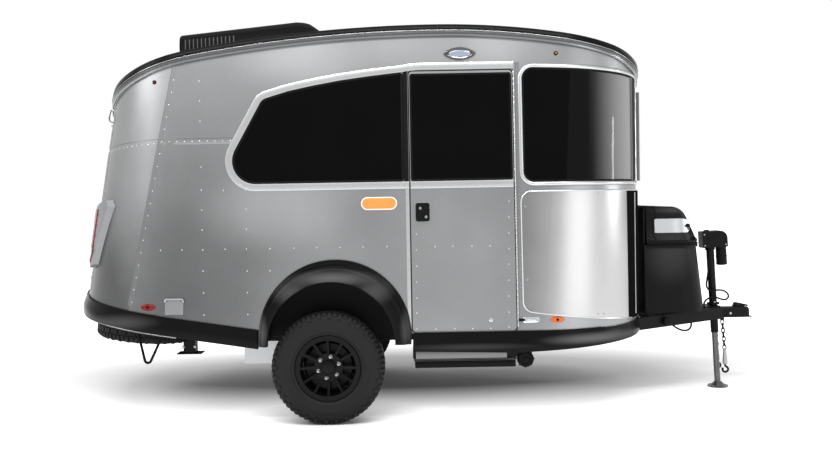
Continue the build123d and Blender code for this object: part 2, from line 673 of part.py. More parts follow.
def spare_carrier():
    """Hanger bolt and clamp plate of the spare wheel, with the wire pull loop on the right rail."""
    bolt = Pos(0, 0, 40.0) * Cylinder(12.0, 300.0) + Pos(0, 0, -31.0) * Cylinder(90.0, 12.0)
    crossbar = box((SPARE_X - 20.0, SPARE_X + 20.0), (-RAIL_Y + RAIL_WIDTH / 2, RAIL_Y - RAIL_WIDTH / 2),
                   (sloped_floor(SPARE_X) - 50.0, sloped_floor(SPARE_X) - 20.0))
    hanger = in_spare_place(bolt) + crossbar
    rear_end, front_end = [(x, rail_bottom(x) - 3.0) for x in PULL_LOOP_X]
    path = Plane.XZ.offset(RAIL_Y) * FilletPolyline(rear_end, PULL_LOOP_LOW, front_end, radius=22.0)
    loop = sweep(path.location_at(0) * Circle(6.0), path=path)
    return [hanger, loop]


def stabiliser():
    """Folded scissor stabiliser under the right rail."""
    top = sloped_floor(STABILISER_X) - RAIL_HEIGHT
    low = STABILISER_FOOT_Z
    y_span = (-RAIL_Y - 40.0, -RAIL_Y + 40.0)
    foot = box((STABILISER_X - 84.0, STABILISER_X + 84.0), (y_span[0] - 15.0, y_span[1] + 15.0), (low, low + 6.0))
    neck = box((STABILISER_X - 40.0, STABILISER_X + 40.0), y_span, (low + 6.0, low + 90.0))
    arms = prism_xz(polygon([
        (STABILISER_X - 125.0, top - 24.0), (STABILISER_X, low + 84.0), (STABILISER_X + 190.0, top - 24.0),
        (STABILISER_X + 190.0, top + 10.0), (STABILISER_X - 125.0, top + 24.0)]), *y_span)
    cut = main_rail(-RAIL_Y)
    return foot + neck + arms - cut


# ================================================================ roof equipment
def below_roof():
    """Everything under the roof's outer surface, for what stands on it."""
    arcs, rear_end, front_end = roof_edges(0)
    ground = [
        Line(front_end, (front_end[0], 0)),
        Line((front_end[0], 0), (rear_end[0], 0)),
        Line((rear_end[0], 0), rear_end),
    ]
    return prism_xz(make_face(arcs + ground), -FAR, FAR)


def air_conditioner():
    """Low wedge-shaped roof unit that rises to the front."""
    return prism_xz(polygon(COOLER_PROFILE), -COOLER_HALF_WIDTH, COOLER_HALF_WIDTH) - below_roof()


def roof_vent():
    base_z = ROOF_PEAK_Z - 6.0
    clear = VENT_SIZE - 40.0
    frame = Box(VENT_SIZE, VENT_SIZE, 40.0) - Box(clear, clear, 50.0)
    mesh = Pos(*VENT_CENTRE, base_z + 8.0) * Box(clear + 4.0, clear + 4.0, 6.0)
    return (Pos(*VENT_CENTRE, base_z + 20.0) * frame + mesh) - below_roof()


def roof_vent_lid():
    base_z = ROOF_PEAK_Z + 36.0
    lid = Pos(*VENT_CENTRE, base_z + 24.0) * Box(VENT_SIZE + 16.0, VENT_SIZE + 16.0, 44.0)
    lid = chamfer(lid.edges().group_by(Axis.Z)[-1], 20.0)
    return lid - Pos(*VENT_CENTRE, base_z + 14.0) * Box(VENT_SIZE - 10.0, VENT_SIZE - 10.0, 36.0)


# ================================================================ lamps
def tail_lamp():
    """Right tail-lamp housing that stands out from the rear corner."""
    outline = polygon([(-610.0, 1060.0), (-680.0, 1024.0), (-742.0, 1050.0), (-838.0, 1440.0), (-812.0, 1478.0),
                       (-610.0, 1440.0)])
    prism = extrude(Plane.YZ.offset(-FAR) * outline, amount=FAR - 1500.0)
    return (body_block(-34.0) - OUTER) & prism


def tail_lamp_lens():
    outline = polygon([(-622.0, 1085.0), (-672.0, 1060.0), (-700.0, 1110.0), (-700.0, 1420.0), (-622.0, 1420.0)])
    prism = extrude(Plane.YZ.offset(-FAR) * outline, amount=FAR - 1500.0)
    return (body_block(-40.0) - body_block(-34.0)) & prism


def marker_lamps():
    """Porch lamp over the door and the small side markers, all on the skin."""
    skin = body_block(-14.0) - OUTER
    thin = body_block(-8.0) - OUTER
    porch = skin & prism_xz(Pos(261.0, 2388.0) * Ellipse(104.0, 42.0), -FAR, 0)
    pieces = [porch]
    # (x, z, half length, half height)
    for x, z, half_length, half_height in (
            (864.0, 660.0, 48.0, 20.0), (-1786.0, 781.0, 49.0, 22.0),
            (884.0, 2379.0, 12.0, 12.0), (-1752.0, 2249.0, 12.0, 12.0)):
        lamp = thin & prism_xz(Pos(x, z) * Ellipse(half_length, half_height + 0.01), -FAR, 0)
        pieces += both_sides(lamp)
    return pieces


# ================================================================ door and hatch
def entry_door():
    slab = (OUTER - INNER) & prism_xz(door_outline(PANEL_GAP), -FAR, 0)
    glazed = rounded_rectangle((DOOR_X[0] + PANEL_GAP + 4.0, DOOR_X[1] - PANEL_GAP - 4.0), DOOR_GLASS_Z, SMALL_CORNER)
    clear_x = (DOOR_X[0] + DOOR_FRAME, DOOR_X[1] - DOOR_FRAME)
    clear_z = (DOOR_GLASS_Z[0] + DOOR_FRAME, DOOR_GLASS_Z[1] - DOOR_FRAME)
    slab -= PANE & prism_xz(glazed, -FAR, 0)
    return slab - prism_xz(rounded_rectangle(clear_x, clear_z, SMALL_CORNER), -FAR, 0)


def entry_door_window():
    glazed = rounded_rectangle((DOOR_X[0] + PANEL_GAP + 4.0, DOOR_X[1] - PANEL_GAP - 4.0), DOOR_GLASS_Z, SMALL_CORNER)
    return PANE & prism_xz(glazed, -FAR, 0)


def door_handle():
    plate = (body_block(-18.0) - OUTER) & prism_xz(rounded_rectangle((-41.0, 49.0), (1306.0, 1426.0), 16.0), -FAR, 0)
    return plate


def rear_hatch():
    span = (HATCH_Z[0] + PANEL_GAP, HATCH_Z[1] - PANEL_GAP)
    leaf = (OUTER - INNER) & hatch_prism(HATCH_HALF_WIDTH - PANEL_GAP, span, HATCH_CORNER)
    return leaf - hatch_prism(HATCH_WINDOW_HALF_WIDTH, HATCH_WINDOW_Z, 50.0)


def rear_hatch_window():
    return PANE & hatch_prism(HATCH_WINDOW_HALF_WIDTH, HATCH_WINDOW_Z, 50.0)


# ================================================================ nose: bottle cover and jack
def cover_outline(front_x, half, inset, z):
    x_low = COVER_X[0] + inset
    x_high = front_x - inset
    width = half - inset
    radius = COVER_FRONT_RADIUS - inset
    bend = radius * (1.0 - math.sqrt(0.5))
    edges = [
        Edge.make_line((x_low, width, z), (x_high - radius, width, z)),
        Edge.make_three_point_arc((x_high - radius, width, z), (x_high - bend, width - bend, z), (x_high, width - radius, z)),
        Edge.make_line((x_high, width - radius, z), (x_high, radius - width, z)),
        Edge.make_three_point_arc((x_high, radius - width, z), (x_high - bend, bend - width, z), (x_high - radius, -width, z)),
        Edge.make_line((x_high - radius, -width, z), (x_low, -width, z)),
        Edge.make_line((x_low, -width, z), (x_low, width, z)),
    ]
    return Wire(edges)


def cover_block(inset, z_low, z_high, front_low, front_high, half_low, half_high):
    return Solid.make_loft([cover_outline(front_low, half_low, inset, z_low),
                            cover_outline(front_high, half_high, inset, z_high)], True)


def bottle_cover():
    """Open-topped tub with a tall back plate that carries the lid's hinge."""
    tub = cover_block(0, COVER_Z[0], COVER_Z[1], COVER_X[1], COVER_TOP_FRONT_X, *COVER_HALF_WIDTH)
    tub -= cover_block(COVER_WALL, COVER_Z[0] - 2.0, COVER_Z[1] + 2.0, COVER_X[1], COVER_TOP_FRONT_X, *COVER_HALF_WIDTH)
    tub += box((COVER_X[0], COVER_X[0] + COVER_WALL), (-300.0, 300.0), (COVER_Z[0], LID_Z[1] - 16.0))
    tub += box((COVER_X[0], COVER_X[1] - 40.0), (-200.0, 200.0), (COVER_Z[0], COVER_Z[0] + 8.0))
    return tub


def lid_side(inset):
    """Side profile of the lid, its top sloping to a rounded front."""
    top = (COVER_X[0], LID_Z[1] - inset)
    crest = (LID_CREST[0], LID_CREST[1] - inset)
    brow = (LID_BROW[0] - inset / 2, LID_BROW[1] - inset)
    lip = (LID_LIP[0] - inset, LID_LIP[1] - inset / 2)
    foot = (COVER_TOP_FRONT_X, LID_Z[0] - COVER_WALL)
    edges = [
        Line(top, crest),
        ThreePointArc(crest, brow, lip),
        Line(lip, foot),
        Line(foot, (COVER_X[0], foot[1])),
        Line((COVER_X[0], foot[1]), top),
    ]
    return prism_xz(make_face(edges), -FAR, FAR)


def bottle_lid():
    """Moulded lid, open below and at its hinge side."""
    half = COVER_HALF_WIDTH[1]
    shape = (COVER_TOP_FRONT_X, LID_TOP_FRONT_X, half, half - 30.0)
    lid = cover_block(0, *LID_Z, *shape) & lid_side(0)
    hollow = cover_block(COVER_WALL, LID_Z[0] - 4.0, LID_Z[1] - COVER_WALL, *shape)
    lid -= hollow & lid_side(COVER_WALL)
    back_x = COVER_X[0] + COVER_WALL + LID_BACK_DEPTH
    return lid - box((-FAR, back_x), (-FAR, FAR), (0, FAR))


def gas_bottles():
    body = Pos(0, 0, sum(BOTTLE_Z) / 2) * Cylinder(BOTTLE_RADIUS, BOTTLE_Z[1] - BOTTLE_Z[0] - 80.0)
    body = fillet(body.edges().filter_by(GeomType.CIRCLE), 60.0)
    collar = Pos(0, 0, BOTTLE_Z[1] - 40.0) * (Cylinder(85.0, 80.0) - Cylinder(81.0, 82.0))
    foot = Pos(0, 0, BOTTLE_Z[0] + 24.0) * (Cylinder(100.0, 48.0) - Cylinder(96.0, 50.0))
    bottle = body + collar + foot
    return both_sides(Pos(BOTTLE_X, -BOTTLE_Y, 0) * bottle)


def jack_tube():
    low, high = JACK_TUBE_SPAN
    tube = Pos(0, 0, (low + high) / 2) * Cylinder(JACK_TUBE_RADIUS, high - low)
    tube -= Pos(0, 0, (low + high) / 2 - 30.0) * Cylinder(JACK_LEG_RADIUS + JACK_BORE_GAP, high - low)
    collar_z = 68.0
    return lean_along_jack(tube + Pos(0, 0, collar_z) * (Cylinder(46.0, 14.0) - Cylinder(JACK_TUBE_RADIUS - 1.0, 16.0)))


def jack_head():
    """Gearbox housing on the tube with the motor hanging from its front."""
    high = JACK_TUBE_SPAN[1]
    housing = Pos(26.0, 0, high + 62.0) * Box(186.0, 112.0, 122.0)
    housing = fillet(housing.edges().filter_by(Axis.Y).sort_by(Axis.X)[-2:].sort_by(Axis.Z)[-1], 56.0)
    motor = Pos(82.0, 0, high - 66.0) * Cylinder(39.0, 134.0)
    return lean_along_jack(housing + motor)


def jack_leg():
    """Inner leg with its dished foot, down on the ground."""
    foot_z = -JACK_Z / math.cos(math.radians(JACK_LEAN))
    leg = Pos(0, 0, (foot_z + 40.0 + 0.0) / 2) * Cylinder(JACK_LEG_RADIUS, -foot_z + 40.0 - 24.0)
    ground = lean_along_jack(Pos(0, 0, foot_z) * Sphere(1.0)).center()
    foot = Pos(ground.X, 0, 5.0) * Cylinder(JACK_FOOT_RADIUS, 10.0)
    foot += Pos(ground.X, 0, 24.0) * Cone(JACK_FOOT_RADIUS - 20.0, JACK_LEG_RADIUS + 4.0, 30.0)
    return lean_along_jack(leg) + foot


# ================================================================ step, drain and tank
def step_housing():
    shell = box(STEP_X, STEP_Y, STEP_HOUSING_Z)
    for x in (STEP_X[0] + 40.0, STEP_X[1] - 40.0):
        shell += box((x - 20.0, x + 20.0), (-RAIL_Y - 25.0, -RAIL_Y + 25.0), (STEP_HOUSING_Z[0], FLOOR_Z - RAIL_HEIGHT))
    return shell


def step_tread():
    return box((STEP_X[0] + 4.0, STEP_X[1] - 4.0), (STEP_Y[0] - 6.0, STEP_Y[1] + 40.0), STEP_TREAD_Z)


def waste_outlet():
    """Drain pipe with its round cap below the right wall."""
    centre = (658.0, 399.0)
    pipe = prism_xz(Pos(*centre) * Circle(41.0), -930.0, -500.0)
    cap = prism_xz(Pos(*centre) * Circle(54.0), -958.0, -922.0)
    strap = box((centre[0] - 15.0, centre[0] + 15.0), (-RAIL_Y - 15.0, -RAIL_Y + 15.0), (centre[1] + 30.0, FLOOR_Z - RAIL_HEIGHT))
    return pipe + cap + strap


def tank_pan():
    return box((-1239.0, -760.0), (-RAIL_Y + 40.0, RAIL_Y - 40.0), (334.0, 488.0))


# ================================================================ inside
def galley_unit():
    """Kitchen counter across the nose, below the windows."""
    block = body_block(WALL + 4.0) & box((1050.0, FAR), (-FAR, FAR), (FLOOR_Z + 51.0, 1500.0))
    return block


def benches():
    """Two side seats behind the wheel boxes, with their cushions."""
    bench = body_block(WALL + 4.0) & prism_xz(polygon([
        (-1060.0, 641.0), (-1060.0, 1080.0), (-2250.0, 1080.0), (-2250.0, 900.0)]), -FAR, -420.0)
    deck_clear = prism_xz(polygon([
        (DEPARTURE_X, FLOOR_Z - 200.0), (DEPARTURE_X, FLOOR_Z + 51.0), (-FAR, sloped_floor(-FAR) + 51.0),
        (-FAR, FLOOR_Z - 200.0)]), -FAR, FAR)
    return both_sides(bench - deck_clear)


# ================================================================ node table
def build():
    return {
        "chassis_frame": chassis_frame(),
        "coupler": coupler(),
        "axle_beam": axle_beam(),
        "floor_deck": floor_deck(),
        "side_wall_right": side_wall_right(),
        "side_wall_left": side_wall_left(),
        "front_corner_right": front_corner(),
        "front_corner_left": mirror(front_corner(), about=Plane.XZ),
        "front_wall": front_wall(),
        "rear_corner_right": rear_corner(),
        "rear_corner_left": mirror(rear_corner(), about=Plane.XZ),
        "rear_wall": rear_wall(),
        "roof_shell": roof_shell(),
        "side_windows": side_windows(),
        "front_windows": front_windows(),
        "stone_guards": stone_guards(),
        "front_skirt": front_skirt(),
        "rear_skirt": rear_skirt(),
        "wheel_flares": both_sides(wheel_flare()),
        "wheel_boxes": both_sides(wheel_box()),
        "air_conditioner": air_conditioner(),
        "roof_vent": roof_vent(),
        "roof_vent_lid": roof_vent_lid(),
        "tail_lamps": both_sides(tail_lamp()),
        "tail_lamp_lenses": both_sides(tail_lamp_lens()),
        "marker_lamps": marker_lamps(),
        "bottle_cover": bottle_cover(),
        "bottle_lid": bottle_lid(),
        "gas_bottles": gas_bottles(),
        "jack_tube": jack_tube(),
        "jack_head": jack_head(),
        "jack_leg": jack_leg(),
        "step_housing": step_housing(),
        "step_tread": step_tread(),
        "waste_outlet": waste_outlet(),
        "tank_pan": tank_pan(),
        "spare_tyre": in_spare_place(tyre()),
        "spare_rim": spare_rim(),
        "spare_carrier": spare_carrier(),
        "stabilisers": both_sides(stabiliser()),
        "galley_unit": galley_unit(),
        "benches": benches(),
        "tyre_right": on_axle(tyre(), -1),
        "rim_right": on_axle(rim(), -1),
        "tyre_left": on_axle(tyre(), 1),
        "rim_left": on_axle(rim(), 1),
        "entry_door": entry_door(),
        "entry_door_window": entry_door_window(),
        "door_handle": door_handle(),
        "rear_hatch": rear_hatch(),
        "rear_hatch_window": rear_hatch_window(),
    }


os.makedirs("parts", exist_ok=True)
for name, shape in build().items():
    solids = shape if isinstance(shape, list) else [shape]
    export_step(Compound(children=[solid for item in solids for solid in item.solids()]), f"parts/{name}.step")
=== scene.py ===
import logging
from dataclasses import dataclass, field, replace
from enum import Enum
from functools import cache
from math import asin, atan2, ceil, copysign, cos, dist, pi, radians, sin, sqrt, tan
from typing import Callable, Iterable, Optional, Sequence

import bmesh
import bpy
from mathutils import Matrix, Vector


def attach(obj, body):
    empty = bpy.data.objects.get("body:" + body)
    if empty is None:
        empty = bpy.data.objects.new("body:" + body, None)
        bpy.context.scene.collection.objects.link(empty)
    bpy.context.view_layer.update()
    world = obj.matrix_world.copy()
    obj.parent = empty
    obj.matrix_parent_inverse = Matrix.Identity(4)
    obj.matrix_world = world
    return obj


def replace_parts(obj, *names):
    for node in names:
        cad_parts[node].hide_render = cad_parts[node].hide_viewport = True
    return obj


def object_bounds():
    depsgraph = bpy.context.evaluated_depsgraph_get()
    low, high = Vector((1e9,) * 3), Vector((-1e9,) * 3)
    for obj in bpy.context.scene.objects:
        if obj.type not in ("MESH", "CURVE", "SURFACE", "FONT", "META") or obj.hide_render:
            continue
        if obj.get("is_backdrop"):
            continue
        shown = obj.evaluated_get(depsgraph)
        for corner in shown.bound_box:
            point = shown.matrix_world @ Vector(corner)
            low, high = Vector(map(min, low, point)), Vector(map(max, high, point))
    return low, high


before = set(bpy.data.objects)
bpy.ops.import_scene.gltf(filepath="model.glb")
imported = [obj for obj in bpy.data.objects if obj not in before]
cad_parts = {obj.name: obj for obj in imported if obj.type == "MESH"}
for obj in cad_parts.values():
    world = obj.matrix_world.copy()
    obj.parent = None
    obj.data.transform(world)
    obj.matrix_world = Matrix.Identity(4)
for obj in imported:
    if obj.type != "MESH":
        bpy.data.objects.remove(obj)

# Dressing of a small riveted-aluminium travel caravan, in metres.
# +X points to the hitch, +Z up, and the entry door is on the -Y side.

LOG = logging.getLogger("caravan")
SHARP_EDGE = 40.0
SAME_POINT = 1e-5

Flat = tuple[float, float]
Triple = tuple[float, float, float]
EVEN: Triple = (1.0, 1.0, 1.0)

ORIGIN = Vector((0.0, 0.0, 0.0))
AHEAD = Vector((1.0, 0.0, 0.0))
UP = Vector((0.0, 0.0, 1.0))


class Side(Enum):
    """The two long sides of the caravan."""

    RIGHT = -1
    LEFT = 1

    @property
    def out(self) -> Vector:
        """Direction straight out of this side."""
        return Vector((0.0, float(self.value), 0.0))

    @property
    def label(self) -> str:
        """The side's word in the names of pieces."""
        return self.name.lower()


class Grain(Enum):
    """Surface textures that a finish can carry."""

    BRUSHED = "brushed"
    MOULDED = "moulded"
    CAST = "cast"
    SPANGLED = "spangled"
    # The pane grain paints a reflection on the corner glass.
    PANE = "pane"
    WOVEN = "woven"
    SMOOTH = "smooth"


# ---------------------------------------------------------------- node trees
def join(tree: bpy.types.NodeTree, entry: object, socket: bpy.types.NodeSocket) -> None:
    """Feed an input with a value, another node's output or a constant.

    Args:
        tree: the tree that both nodes are in.
        entry: what is fed.
        socket: the input.
    """
    source = entry.socket if isinstance(entry, Value) else entry
    if isinstance(source, bpy.types.NodeSocket):
        tree.links.new(source, socket)
    else:
        socket.default_value = source


class Value:
    """A shader value that can be added, multiplied and compared like a number."""

    def __init__(self, tree: bpy.types.NodeTree, socket: bpy.types.NodeSocket) -> None:
        """Wrap an output socket of a node tree."""
        self.tree = tree
        self.socket = socket

    def _math(self, operation: str, other: "Value | float", swap: bool = False) -> "Value":
        """Join this value and another through a Math node.

        Args:
            operation: name of the Math node's operation.
            other: the second operand.
            swap: put the other operand first.

        Returns:
            The node's result.
        """
        node = self.tree.nodes.new("ShaderNodeMath")
        node.operation = operation
        for socket, entry in zip(node.inputs, (other, self) if swap else (self, other)):
            join(self.tree, entry, socket)
        return Value(self.tree, node.outputs[0])

    def __add__(self, other: "Value | float") -> "Value":
        """Sum of two values."""
        return self._math("ADD", other)

    def __sub__(self, other: "Value | float") -> "Value":
        """Difference of two values."""
        return self._math("SUBTRACT", other)

    def __rsub__(self, other: float) -> "Value":
        """Number less this value."""
        return self._math("SUBTRACT", other, swap=True)

    def __mul__(self, other: "Value | float") -> "Value":
        """Product of two values."""
        return self._math("MULTIPLY", other)

    __radd__ = __add__
    __rmul__ = __mul__

    def clamp(self, low: float, high: float) -> "Value":
        """This value held between two limits."""
        return self._math("MAXIMUM", low)._math("MINIMUM", high)

    def spread(self, low: float, high: float) -> "Value":
        """This value, from 0 to 1, stretched to run from low to high."""
        return self * (high - low) + low

    def steep(self, low: float, high: float) -> "Value":
        """0 below low and 1 above high, straight between."""
        return ((self - low) * (1.0 / (high - low))).clamp(0.0, 1.0)


class Graph:
    """A node tree that is filled through one method."""

    def __init__(self, tree: bpy.types.NodeTree) -> None:
        """Wrap a tree."""
        self.tree = tree

    def node(self, kind: str, sockets: Optional[dict] = None, **settings: object) -> bpy.types.Node:
        """Add a node.

        Args:
            kind: its type.
            sockets: what feeds each input, by name or number.
            settings: its own settings, which are made first.

        Returns:
            The node.
        """
        made = self.tree.nodes.new(kind)
        for key, setting in settings.items():
            setattr(made, key, setting)
        for key, entry in (sockets or {}).items():
            join(self.tree, entry, made.inputs[key])
        return made

    def value(self, output: int | str, kind: str, sockets: Optional[dict] = None,
            **settings: object) -> Value:
        """One output of a new node, as a value."""
        return Value(self.tree, self.node(kind, sockets, **settings).outputs[output])


class Shading(Graph):
    """Builds one Principled material from its object coordinates."""

    def __init__(self, name: str) -> None:
        """Start an empty material of that name."""
        self.material = bpy.data.materials.new(name)
        self.material.use_nodes = True
        super().__init__(self.material.node_tree)
        self.shader = self.tree.nodes["Principled BSDF"]
        self.place = self.node("ShaderNodeTexCoord").outputs["Object"]

    def feed(self, **sockets: object) -> None:
        """Feed the shader's sockets, spelt with underscores for spaces."""
        for name, entry in sockets.items():
            join(self.tree, entry, self.shader.inputs[name.replace("_", " ")])

    def noise(self, scale: float, detail: float = 3.0, stretch: Triple = EVEN,
            rough: float = 0.5) -> Value:
        """Noise from 0 to 1 over the object's own coordinates.

        Args:
            scale: cells per metre.
            detail: octaves of the noise.
            stretch: factor on the scale along each axis.
            rough: strength of the finer octaves.

        Returns:
            The noise.
        """
        return self.value(0, "ShaderNodeTexNoise", {"Scale": scale, "Detail": detail, "Roughness": rough,
            "Vector": self._stretched(stretch)})

    def cells(self, scale: float) -> Value:
        """Distance pattern of cells, given their number per metre."""
        return self.value("Distance", "ShaderNodeTexVoronoi", {
            "Scale": scale, "Vector": self._stretched(EVEN)})

    def waves(self, scale: float, direction: str) -> Value:
        """Sine bands from 0 to 1 along one axis, given roughly their number per metre."""
        return self.value(1, "ShaderNodeTexWave", {"Scale": scale, "Vector": self.place},
            bands_direction=direction)

    def axis(self, index: int) -> Value:
        """One of the three coordinates."""
        return self.value(index, "ShaderNodeSeparateXYZ", {0: self.place})

    def pool(self, x: float, z: float, reach_x: float, reach_z: float) -> Value:
        """Soft patch of painted light and shade round a place seen from the side: 1 in its middle and 0
        beyond its reach.

        Args:
            x: middle along the body.
            z: middle above the ground.
            reach_x: distance along the body at which it ends.
            reach_z: distance in height at which it ends.

        Returns:
            The patch.
        """
        along = (self.axis(0) - x) * (1.0 / reach_x)
        above = (self.axis(2) - z) * (1.0 / reach_z)
        near = (1.0 - (along * along + above * above)).clamp(0.0, 1.0)
        return near * near

    def distance(self, centre: Triple) -> Value:
        """Distance from a place."""
        return self.value(1, "ShaderNodeVectorMath", {0: self.place, 1: centre}, operation="DISTANCE")

    def _stretched(self, stretch: Triple) -> bpy.types.NodeSocket:
        """Object coordinates with a factor along each axis."""
        return self.node("ShaderNodeVectorMath", {0: self.place, 1: stretch},
            operation="MULTIPLY").outputs[0]

    def _mixed(self, amount: Value, low: object, high: Triple) -> Value:
        """Mix of two tones, of which the lower may be a socket."""
        return self.value(2, "ShaderNodeMix", {0: amount, 6: low, 7: (*high, 1.0)}, data_type="RGBA")

    def tone(self, amount: Value, low: Triple, high: Triple) -> None:
        """Colour the surface between two tones, low where the amount is 0 and high where it is 1."""
        self.feed(Base_Color=self._mixed(amount, (*low, 1.0), high))

    def sheen(self, amount: Value, colour: Triple) -> None:
        """Lay a painted highlight, a paler tone, over the surface's own, all of it where the amount is 1.
        """
        under = self.shader.inputs["Base Color"].links[0].from_socket
        self.feed(Base_Color=self._mixed(amount, under, colour))

    def bump(self, height: Value, depth: float, strength: float = 1.0) -> None:
        """Raise the surface by a varying height.

        Args:
            height: the height, from 0 to 1.
            depth: real height of 1, in metres.
            strength: strength of the effect.
        """
        self.feed(Normal=self.value(0, "ShaderNodeBump", {"Strength": strength, "Distance": depth,
            "Height": height}))


@dataclass(frozen=True)
class Finish:
    """A surface finish: its tones, gloss and grain, with soft patches of painted light and shade.

    Attributes:
        name: name of the material.
        slot: the record's material slot; not used.
        low: darker tone.
        high: lighter tone.
        rough: lowest and highest roughness.
        grain: texture of the surface.
        grain_scale: cells of the texture per metre.
        depth: height of the texture, in metres.
        metallic: 1 for bare metal.
        coat: clear coat weight.
        specular: specular level.
        see_through: alpha below 1 for tinted glass.
        pools: x, z, reach in x, reach in z and weight of soft patches of painted light and shade.
        sheen: paler tone of the painted highlight on the patches, in place of the high one.
    """

    name: str
    slot: str
    low: Triple
    high: Triple
    rough: Flat = (0.4, 0.5)
    grain: Grain = Grain.SMOOTH
    grain_scale: float = 200.0
    depth: float = 0.0002
    metallic: float = 0.0
    coat: float = 0.0
    specular: float = 0.5
    see_through: float = 1.0
    pools: tuple = ()
    sheen: tuple = ()

    def material(self) -> bpy.types.Material:
        """The finish's material, made once."""
        known = bpy.data.materials.get(self.name)
        return known if known else self._make()

    def _make(self) -> bpy.types.Material:
        """Build the material's nodes."""
        shading = Shading(self.name)
        shading.feed(Metallic=self.metallic, Coat_Weight=self.coat, Specular_IOR_Level=self.specular,
            Coat_Roughness=0.08, Alpha=self.see_through)
        cloud = shading.noise(2.3, 4.0)
        fine = shading.noise(self.grain_scale, 2.0)
        patterns: dict[Grain, Callable[[], tuple[Value, Value]]] = {
            Grain.BRUSHED: lambda: self._brushed(shading, cloud),
            Grain.MOULDED: lambda: (cloud * 0.5 + fine * 0.5, shading.cells(self.grain_scale)),
            Grain.CAST: lambda: (cloud * 0.4 + fine * 0.6, fine),
            Grain.SPANGLED: lambda: self._spangled(shading),
            Grain.WOVEN: lambda: self._woven(shading, cloud),
            Grain.PANE: lambda: self._pane(shading, cloud),
            Grain.SMOOTH: lambda: (cloud, fine)}
        tone, relief = patterns[self.grain]()
        # Painted light and shade: each patch lightens or darkens the tone, or lays the painted highlight.
        patches = [shading.pool(*place) * weight for *place, weight in self.pools]
        if self.sheen:
            shading.tone(tone.clamp(0.0, 1.0), self.low, self.high)
            shading.sheen(sum(patches[1:], patches[0]).clamp(0.0, 1.0), self.sheen)
        else:
            shading.tone(sum(patches, tone).clamp(0.0, 1.0), self.low, self.high)
        shading.feed(Roughness=(cloud * 0.6 + fine * 0.4).spread(*self.rough))
        if self.depth > 0.0:
            shading.bump(relief, self.depth, 0.6)
        return shading.material

    def _brushed(self, shading: Shading, cloud: Value) -> tuple[Value, Value]:
        """Rolled sheet: fine lines one way and a soft change over each sheet."""
        lines = shading.noise(self.grain_scale, 2.0, (1.0, 1.0, 0.05), 0.6)
        oil_can = shading.noise(1.1, 1.0, (1.0, 1.0, 0.7))
        return cloud * 0.24 + lines * 0.16 + oil_can * 0.2 + 0.2, lines * 0.06 + oil_can * 0.94

    def _spangled(self, shading: Shading) -> tuple[Value, Value]:
        """Zinc crystals a few millimetres across."""
        spangle = shading.cells(self.grain_scale)
        return spangle.steep(0.1, 0.8), spangle

    def _woven(self, shading: Shading, cloud: Value) -> tuple[Value, Value]:
        """Warp and weft threads with a little mottling."""
        weave = shading.waves(self.grain_scale, "X") * 0.5 + shading.waves(self.grain_scale, "Y") * 0.5
        return weave * 0.6 + cloud * 0.4, weave

    def _pane(self, shading: Shading, cloud: Value) -> tuple[Value, Value]:
        """Dark pane with a painted reflection that pales it where the corner turns to the nose."""
        half = shading.axis(1)
        flank = (half * half).steep(0.17, 0.3)
        return cloud * 0.004 + shading.pool(1.5, 1.9, 0.42, 4.0) * flank, cloud

    def paint(self, *nodes: str) -> None:
        """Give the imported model's own pieces of these names this finish."""
        for name in nodes:
            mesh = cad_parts[name].data
            mesh.materials.clear()
            mesh.materials.append(self.material())


def placed(name: str, data: bpy.types.ID) -> bpy.types.Object:
    """New object in the scene, at the origin."""
    made = bpy.data.objects.new(name, data)
    bpy.context.scene.collection.objects.link(made)
    return made


def settle(made: bpy.types.Object, finish: Finish, body: str) -> bpy.types.Object:
    """Let a finished piece ride on its body and report it.

    Args:
        made: the piece.
        finish: its finish; not used.
        body: the body that it rides on.

    Returns:
        The piece.
    """
    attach(made, body)
    LOG.info("%s on %s", made.name, body)
    return made


def smoothed(mesh: bpy.types.Mesh) -> None:
    """Shade a mesh smooth across its shallow edges."""
    mesh.shade_smooth()
    mesh.set_sharp_from_angle(angle=radians(SHARP_EDGE))


# Side walls' aluminium with painted shade low down, most towards the rear and by the door's front edge,
# and painted highlights near the roof and under the side window.
SKIN = Finish("rolled_aluminium", "aluminium_skin", (0.1, 0.101, 0.103), (0.39, 0.394, 0.398),
    (0.32, 0.4), Grain.BRUSHED, 420.0, 0.001, 1.0, pools=((-1.5, 0.72, 0.95, 1.25, -0.48),
    (-1.6, 1.55, 0.55, 0.6, -0.05), (-0.95, 1.42, 0.6, 0.36, 0.32), (-0.8, 2.42, 0.55, 0.36, 0.32),
    (0.15, 2.4, 1.0, 0.22, 0.12), (0.62, 1.05, 0.3, 1.6, -0.1), (1.33, 2.32, 0.26, 0.26, 0.24),
    (0.96, 2.38, 0.26, 0.3, -0.08), (0.5, 2.42, 0.26, 0.22, 0.2), (0.2, 0.75, 0.6, 0.4, -0.12)))
